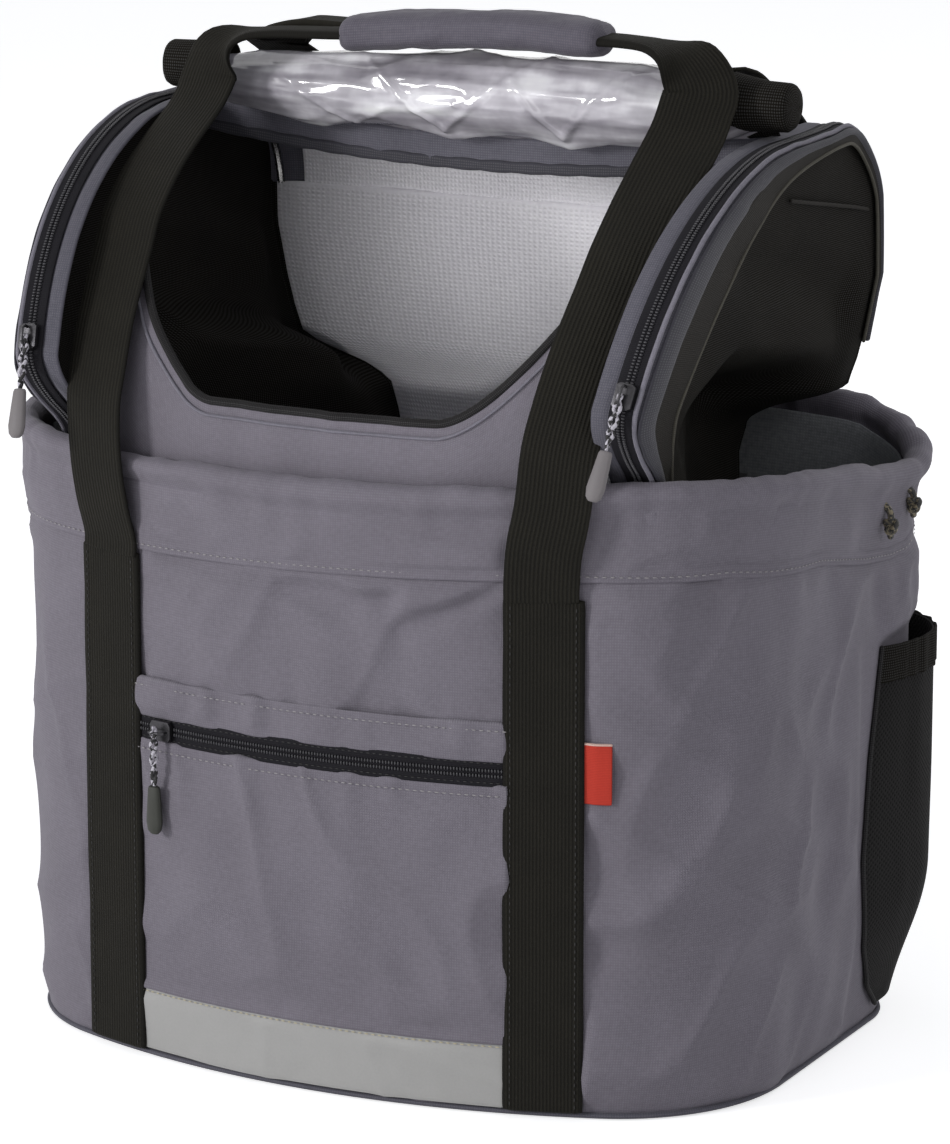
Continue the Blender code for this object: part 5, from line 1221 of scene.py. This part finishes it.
def bib():
    x = span(-BIB_HALF, BIB_HALF, 2.5 * MM)
    share = np.clip((np.abs(x) - BIB_FLAT) / (BIB_HALF - BIB_FLAT), 0, 1)
    top = blend(BIB_LOW, BIB_HIGH, share ** 1.7)
    z = blend(BIB_FOOT, top, np.linspace(0, 1, 46)[:, None])
    d = 1.4 * MM * noise(x / 0.05, z / 0.045, 103) + 0.9 * MM * noise(x / 0.016, z / 0.06, 104)
    d += 1.0 * MM * np.exp(-(top - z) / 0.012) * noise(x / 0.008, z / 0.05, 105)
    d = np.minimum(d, 2.6 * MM)

    def face(off):
        place = front_at(x, z, -PANEL - 0.004 + off)
        rise = np.clip((z - 0.275) / (BIB_HIGH - 0.275), 0, None)
        place[..., 1] += 0.042 * rise ** 1.6
        return place
    made = cloth("front_apron", face(d), face(d - 1.4 * MM), GREY)
    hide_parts("hood_bib")
    edge = spline(face(d - 0.5 * MM)[-1], 2 * MM)
    made = cord("front_apron_binding", edge, 1.9 * MM, PIPING, sides=10)
    low = spline(face(d + 0.6 * MM)[-4], 2 * MM)
    made = cord("front_apron_edge_line", low, 0.7 * MM, LIGHT_PIPING)


ROLL_Y = 0.022 + SHIFT_Y


def film_roll():
    """The clear window flap rolled up along its width as one unbroken sheet: loose
    and drooping over the roof's edge in the middle, bound tight at its ends."""
    turns, tight = 2.25, 1.35
    wide_radius, end_radius = 19.0 * MM, 9.5 * MM
    under = 1 - 0.5 / (turns * tight)
    rest = HOOD_TOP + 2 * GAP + 1.0 * MM + end_radius * under
    half = lean_x(HOOD_TOP) - 1.6 * MM
    share = np.linspace(-1, 1, 221)[:, None]
    turn = np.linspace(0, turns, 170)
    fade = smooth((np.abs(share) - 0.5) / 0.5)
    full = wide_radius + np.interp(half * share, (-0.08, 0.0, 0.09), (-2.6, 0.0, 0.6)) * MM
    radius = blend(full, end_radius, fade)
    angle = math.tau * turn + math.pi / 2
    far = radius * (1 - turn / (turns * tight))
    x = half * share
    crumple = 1.6 * MM * (crease(x / 0.030 + angle * 0.8, angle * 1.3, 111) - 0.4)
    crumple += 1.1 * MM * (crease(x / 0.060 - angle, angle * 2.4, 112) - 0.4)
    crumple *= 0.25 + 0.75 * (1 - fade)
    under_load = np.clip(-np.sin(angle), 0, 1) * smooth((np.cos(angle) + 0.2) / 0.3)
    far = far + crumple * (1 - 0.9 * under_load)
    # pointed folds of the outermost turn, open upwards
    climb = radius * (math.pi * 1.28 - angle)
    for place, height, spread in ((-0.009, 1.0, 1.1), (0.048, 0.9, 0.8), (-0.052, 0.6, 1.6)):
        aside = np.abs(x - place) - spread * np.clip(climb, 0, None)
        fold = np.exp(-(aside / (1.9 * MM)) ** 2) * smooth((climb + 4 * MM) / (4 * MM))
        fold = fold * np.exp(-np.clip(climb, 0, None) / 0.022) * (turn < 0.5)
        far = far + 2.4 * MM * height * fold
    z = blend(rest + 0.5 * MM + (full - wide_radius) * under, rest, fade)
    z += 5 * MM * smooth((np.abs(share) - 0.80) / 0.15)
    # two places where the outer turn hangs down in front of the roof's edge
    outermost = smooth((1.25 - turn) / 0.3)
    low_front = np.clip(-np.sin(angle - 0.55), 0, 1) ** 2 * smooth((-np.cos(angle) + 0.1) / 0.4)
    drop = 0.0
    for place, depth, wide in ((-0.009, 9.0, 0.026), (0.048, 7.0, 0.020), (-0.070, 3.0, 0.030)):
        drop = drop + depth * MM * np.clip(1 - np.abs(x - place) / wide, 0, 1) ** 1.3
    drop = drop * outermost * low_front

    def face(r):
        return points_at(x, ROLL_Y + r * np.cos(angle), z + r * np.sin(angle) - drop)
    made = cloth("window_film_roll", face(far), face(far - 0.7 * MM), FILM, edge=2)
    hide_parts("window_flap_roll")
    flat_size(face(far))
    # the flap's sewn edge, standing between the roof's edge and the lifted ends of the roll
    lowest = face(far)[:, int(round(0.5 / turns * 169))]
    w = share[:, 0]
    ground = HOOD_TOP - ROOF_SAG * (1 - w * w) + 1.6 * MM
    tall = lowest[:, 2] - 1.2 * MM - ground
    up = np.linspace(0, 1, 6)[:, None]
    y = ROOF_FRONT_Y + SHIFT_Y + 1.5 * MM - 4.0 * MM * up
    for _, side, tag in SIDES[::-1]:
        lifted = (w * side > 0.12) & (tall > 1.0 * MM) & (w * side < 0.95)

        def hem(off):
            return points_at(lowest[lifted, 0], y - off, ground[lifted] + tall[lifted] * up)
        made = cloth("film_sewn_edge_" + tag, hem(0.8 * MM), hem(0.0), BLACK_CLOTH)
    # tape bound over the roll's ends: place beyond the roll's end and size, from inside outwards
    past, size = np.array([(-26.0, 0.97), (-25.5, 1.08), (-20.0, 1.10), (-10.0, 1.12), (0.0, 1.14),
                           (1.5, 1.06), (2.2, 0.70), (2.4, 0.30), (2.4, 0.04)]).T[:, :, None]
    x = half + past * MM
    turn = np.arange(40) * math.tau / 40
    size = size * blend(19.5 * MM, end_radius, smooth((x / half - 0.5) / 0.5))
    size = size * (1 + 0.05 * noise(turn * 2.2, 0.6 * np.arange(9)[:, None], 117))
    for _, side, tag in SIDES[::-1]:
        rings = points_at(side * x, ROLL_Y + size * np.cos(turn),
                          rest + 5.6 * MM + 0.96 * size * np.sin(turn))
        made = lofted("film_roll_binding_" + tag, rings, BLACK_CLOTH)


def net_pockets():
    """Nets round the rear corners; their front edges curve back at the foot."""
    z = span(0.0090, 0.1720, 3 * MM)[:, None]
    start = np.interp(z, (0.009, 0.020, 0.040, 0.080, 0.125, 0.172),
                      (2.92, 2.78, 2.68, 2.64, 2.69, 2.79))
    end = back_share(STRAP_X + WEBBING / 2 + GAP, z)
    t = np.concatenate([blend(start, 3.0, np.linspace(0, 1, 14)[:-1]),
                        np.broadcast_to(np.linspace(3.0, 4.0, 26), (len(z), 26)),
                        blend(4.0, end, np.linspace(0, 1, 5)[1:])], 1)
    k = np.linspace(0, 1, t.shape[1])
    arch = np.sin(math.pi * k)
    d = 0.3 * MM + 9.5 * MM * arch ** 0.8 * smooth((z - 0.009) / 0.060)
    d += 0.8 * MM * arch * (1 + noise(k * 14, z / 0.06, 121)) * smooth((z - 0.02) / 0.05)
    for left, _, tag in SIDES:
        outer = shell(t, z, d + 1.0 * MM, left)
        made = cloth("net_pocket_" + tag, outer, shell(t, z, d, left), NET)
        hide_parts("mesh_pocket_" + tag)
        gather = 0.7 * MM * np.sin(k * 190) * arch

        def hem(off):
            return shell(t[-6:], z[-6:] + 0.5 * MM, d[-6:] + off, left)
        made = cloth("net_pocket_hem_" + tag, hem(2.0 * MM + gather), hem(1.05 * MM), BLACK_CLOTH)
        made = cord("net_pocket_edge_" + tag, spline(outer[:, 0], 2 * MM), 1.1 * MM, PIPING)


def pocket_linings():
    """Dark lining inside the tub where the open side pockets show it."""
    z = span(0.075, 0.2540, 4 * MM)[:, None]
    t = np.concatenate([np.linspace(1.9, 3.0, 34)[:-1], np.linspace(3.0, 4.0, 20)[:-1],
                        np.linspace(4.0, 4.75, 18)])
    d = 3.6 * MM + 0.8 * MM * (1 + noise(t * 4, z / 0.05, 124))
    for left, _, tag in SIDES:
        z_here = risen(t, z, left)
        made = cloth("pocket_lining_" + tag, shell(t, z_here, -PANEL - 2.9 * MM, left),
                     shell(t, z_here, -PANEL - d, left), LINING)


def cushion():
    """Padded mat that fills the cabin's floor."""
    half_x, half_y, middle_y = 0.098, 0.09575, -0.02225
    foot, top = (corner[2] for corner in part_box("base_cushion"))
    inset, rise = np.array([(12, 0.0), (4, 0.06), (0, 0.35), (1, 0.55), (6, 0.74), (14, 0.83),
                            (25, 0.88), (40, 0.92), (58, 0.95), (75, 0.96), (88, 0.97),
                            (94.5, 0.97)]).T[:, :, None]
    c, s = squircle(np.arange(96) * math.tau / 96, 5)
    x = (half_x - inset * MM) * c
    y = middle_y + (half_y - inset * MM) * s + SHIFT_Y
    z = foot + rise * (top - foot) + 1.5 * MM * noise(x / 0.04, y / 0.04, 131) * smooth(rise / 0.5)
    made = lofted("floor_cushion", points_at(x, y, z), PLUSH)
    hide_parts("base_cushion")


def drawcord():
    """Cord in the rim's tunnel; its two knotted tails hang out at the right rear."""
    radius = 1.5 * MM
    t, left = ring_stations(6 * MM)
    top = RIM_Z - 2.6 * MM
    ring = shell(t, top + top_rise(t, left) - 1.5 * MM, -PANEL / 2, left)
    at = int(np.argmin(np.linalg.norm(ring - shell(3.0, top - 0.014), axis=1)))
    loop = np.roll(ring, -at, axis=0)[3:-2]
    for name, t, drop, near in (("one", 2.74, -0.020, loop[-1]), ("two", 2.95, -0.017, loop[0])):
        z = near[2]
        path = [near, shell(t, z + drop * 0.4, -1.5 * MM), shell(t, z + drop * 0.7, 3.8 * MM),
                shell(t, z + drop, 5 * MM), shell(t + 0.02, z + drop - 5 * MM, 4.6 * MM)]
        made = cord("drawcord_tail_" + name, spline(path, 1.2 * MM), radius, CORD_BLACK, sides=10)
        made = knot_piece("drawcord_knot_" + name, path[-2], radius, CORD_BLACK)
    made = cord("drawcord_in_rim", spline(loop, 4 * MM), radius, CORD_BLACK)
    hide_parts("rim_drawcord")


def knot_piece(name, where, radius, material):
    """Overhand knot: a trefoil of cord pulled tight."""
    a = np.arange(60) * math.tau / 60
    knot = points_at(0.62 * (np.sin(a) + 2 * np.sin(2 * a)), -0.8 * np.sin(3 * a),
                     0.62 * (np.cos(a) - 2 * np.cos(2 * a)))
    return cord(name, where + radius * knot, radius * 0.95, material, closed=True)


def softened(node, name, material, body, width):
    """A hard piece remade from its solid with rounded edges."""
    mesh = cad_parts[node].data.copy()
    work = bmesh.new()
    work.from_mesh(mesh)
    bmesh.ops.remove_doubles(work, verts=work.verts, dist=1e-6)
    bmesh.ops.dissolve_limit(work, angle_limit=0.02, verts=work.verts, edges=work.edges)
    sharp = [e for e in work.edges if len(e.link_faces) == 2 and e.calc_face_angle(0) > 0.6]
    bmesh.ops.bevel(work, geom=sharp, offset=width, segments=3, profile=0.6,
                    affect="EDGES", clamp_overlap=True)
    bmesh.ops.triangulate(work, faces=[f for f in work.faces if len(f.verts) > 4])
    bmesh.ops.recalc_face_normals(work, faces=work.faces)
    work.to_mesh(mesh)
    work.free()
    mesh.name = name
    mesh.materials.clear()
    mesh.materials.append(material)
    mesh.shade_smooth()
    mesh.set_sharp_from_angle(angle=math.radians(SHARP_HARD))
    made = placed(name, mesh)
    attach(made, body)
    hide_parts(node)


def hardware():
    """Sliders, plate, button, screws, boards, snap hook, leash and spring wires."""
    for side in ("left", "right"):
        softened("side_zip_slider_" + side, "hood_slider_" + side, LACQUER, "side_slider_" + side,
                 0.35 * MM)
    softened("front_zip_slider", "pocket_slider", LACQUER, "front_zip_slider_body", 0.35 * MM)
    softened("adapter_plate", "bracket_plate", NYLON, "basket", 0.9 * MM)
    softened("release_button", "bracket_button", RED_PLASTIC, "button", 0.8 * MM)
    for end in ("lower_left", "lower_right", "upper_left", "upper_right"):
        softened("adapter_screw_" + end, "bracket_screw_" + end, STEEL, "basket", 0.3 * MM)
    softened("back_stiffener", "back_board", BOARD, "basket", 0.6 * MM)
    softened("base_board", "floor_board", BOARD, "basket", 0.6 * MM)
    for node, body in (("snap_hook", "leash"), ("snap_gate", "gate")):
        softened(node, node + "_steel", STEEL, body, 0.1 * MM)
    low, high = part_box("leash_strap")
    x, z = np.linspace(low[0], high[0], 7), np.linspace(low[2], high[2], 30)[:, None]
    made = cloth("leash_webbing", points_at(x, high[1], z), points_at(x, low[1], z), WEB, "leash")
    swap_uv(made)
    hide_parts("leash_strap")
    for side in ("left", "right"):
        softened("hood_hoop_" + side, "hood_spring_wire_" + side, STEEL, "basket", 0.1 * MM)


def pulls():
    """Twisted cord loops and moulded tips of the three sliders."""
    for tag, body, tip, slot in (
            ("front_zip_pull", "front_zip_pull", RUBBER_BLACK, "pull_rubber_black"),
            ("side_zip_pull_left", "side_pull_left", RUBBER_GREY, "pull_rubber_grey"),
            ("side_zip_pull_right", "side_pull_right", RUBBER_GREY, "pull_rubber_grey")):
        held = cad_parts[tag + "_cord"]
        points = np.array([held.matrix_world @ v.co for v in held.data.vertices])
        z = points[:, 2]
        high = points[z > z.max() - 1.5 * MM].mean(0)
        low = points[z < z.min() + 1.5 * MM].mean(0)
        spread = points - (high + low) / 2
        axis = unit(low - high)
        spread = spread - spread.dot(axis)[:, None] * axis
        wide = unit(spread[np.argmax(np.linalg.norm(spread, axis=1))])
        share = np.linspace(0, 1, 90)[:, None]
        # the two strands cross four times; at its top the loop goes over the bail
        turn = math.pi * 4.0 * share
        reach = 1.55 * MM * np.sin(math.pi * np.clip(share * 1.02 + 0.06, 0, 1)) ** 0.5
        middle = high + (low - high) * share
        apart = wide * reach * np.cos(turn) + np.cross(axis, wide) * 0.85 * MM * np.sin(turn)
        path = spline(np.concatenate([(middle + apart)[::-1], middle - apart]), 1.0 * MM)
        made = cord(body + "_loop", path, 0.85 * MM, CORD_MIX, body)
        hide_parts(tag + "_cord")
        softened(tag + "_tip", body + "_end", tip, body, 0.5 * MM)


def seen_apart(tree, plain, seen, output):
    """Lights the set with one shader and shows another to the camera, in reflections
    and through film."""
    ray = add_node(tree, "ShaderNodeLightPath").outputs
    direct = math_node(tree, "MAXIMUM", ray["Is Camera Ray"],
                       math_node(tree, "MAXIMUM", ray["Is Glossy Ray"], ray["Is Transmission Ray"]))
    gate = add_node(tree, "ShaderNodeMixShader",
                    {0: direct, 1: plain.outputs[0], 2: seen.outputs[0]})
    tree.links.new(gate.outputs[0], tree.nodes[output].inputs["Surface"])


def aimed(name, data, place, target):
    """Lamp or camera at a place, turned to a target."""
    made = placed(name, data)
    made.location = place
    made.rotation_euler = (Vector(target) - Vector(place)).to_track_quat("-Z", "Y").to_euler()
    return made


def stage():
    """Paper floor, white surroundings, lamps and the photograph's camera."""
    mesh = bpy.data.meshes.new("studio_floor")
    mesh.from_pydata([(-4, -4, -0.0004), (4, -4, -0.0004), (4, 4, -0.0004), (-4, 4, -0.0004)], [],
                     [(0, 1, 2, 3)])
    made, tree, shader = new_material("paper_floor", 0.95, gleam=0.1)
    shader.inputs["Base Color"].default_value = linear("#F5F5F6")
    glow = add_node(tree, "ShaderNodeEmission", {"Color": (1, 1, 1, 1), "Strength": 0.62})
    both = add_node(tree, "ShaderNodeAddShader", {0: shader.outputs[0], 1: glow.outputs[0]})
    seen_apart(tree, shader, both, "Material Output")
    mesh.materials.append(made)
    floor = placed("studio_floor", mesh)
    scene = bpy.context.scene
    world = scene.world = bpy.data.worlds.new("studio")
    world.use_nodes = True
    tree = world.node_tree
    dim = tree.nodes["Background"]
    dim.inputs["Color"].default_value = (0.93, 0.95, 1.0, 1)
    dim.inputs["Strength"].default_value = 0.36
    bright = add_node(tree, "ShaderNodeBackground", {"Color": linear("#FCFCFC"), "Strength": 1.0})
    seen_apart(tree, dim, bright, "World Output")
    for name, place, size, power in (("key_light", (-1.50, -2.12, 1.02), 0.55, 32.0),
                                     ("front_light", (-0.3, -2.6, 0.55), 1.0, 5.0),
                                     ("side_light", (2.1, -0.6, 1.3), 1.2, 5.0),
                                     ("rear_light", (0.6, 2.0, 1.8), 1.2, 10.0)):
        lamp = bpy.data.lights.new(name, "AREA")
        lamp.size, lamp.energy = size, power
        aimed(name, lamp, place, (0, 0, 0.2))
    lamp = bpy.data.lights.new("opening_light", "SPOT")
    lamp.energy, lamp.shadow_soft_size = 105.0, 0.06
    lamp.spot_size, lamp.spot_blend = math.radians(5.0), 1.0
    aimed("opening_light", lamp, (0.92, -2.10, 0.66), (0.02, 0, 0.352))
    lens = bpy.data.cameras.new("photo_camera")
    lens.lens, lens.sensor_width = 169.02, 36.0
    scene.camera = aimed("photo_camera", lens, (1.0432, -2.0301, 0.7450), (0.0093, -0.0011, 0.1984))
    scene.view_settings.view_transform = "Standard"


tub_walls()
rim()
base()
sewn_straps()
handles()
grip()
front_trim()
seams()
hood_edges()
binding()
side_walls()
back_wall()
roof()
bib()
film_roll()
net_pockets()
pocket_linings()
cushion()
drawcord()
hardware()
pulls()
stage()
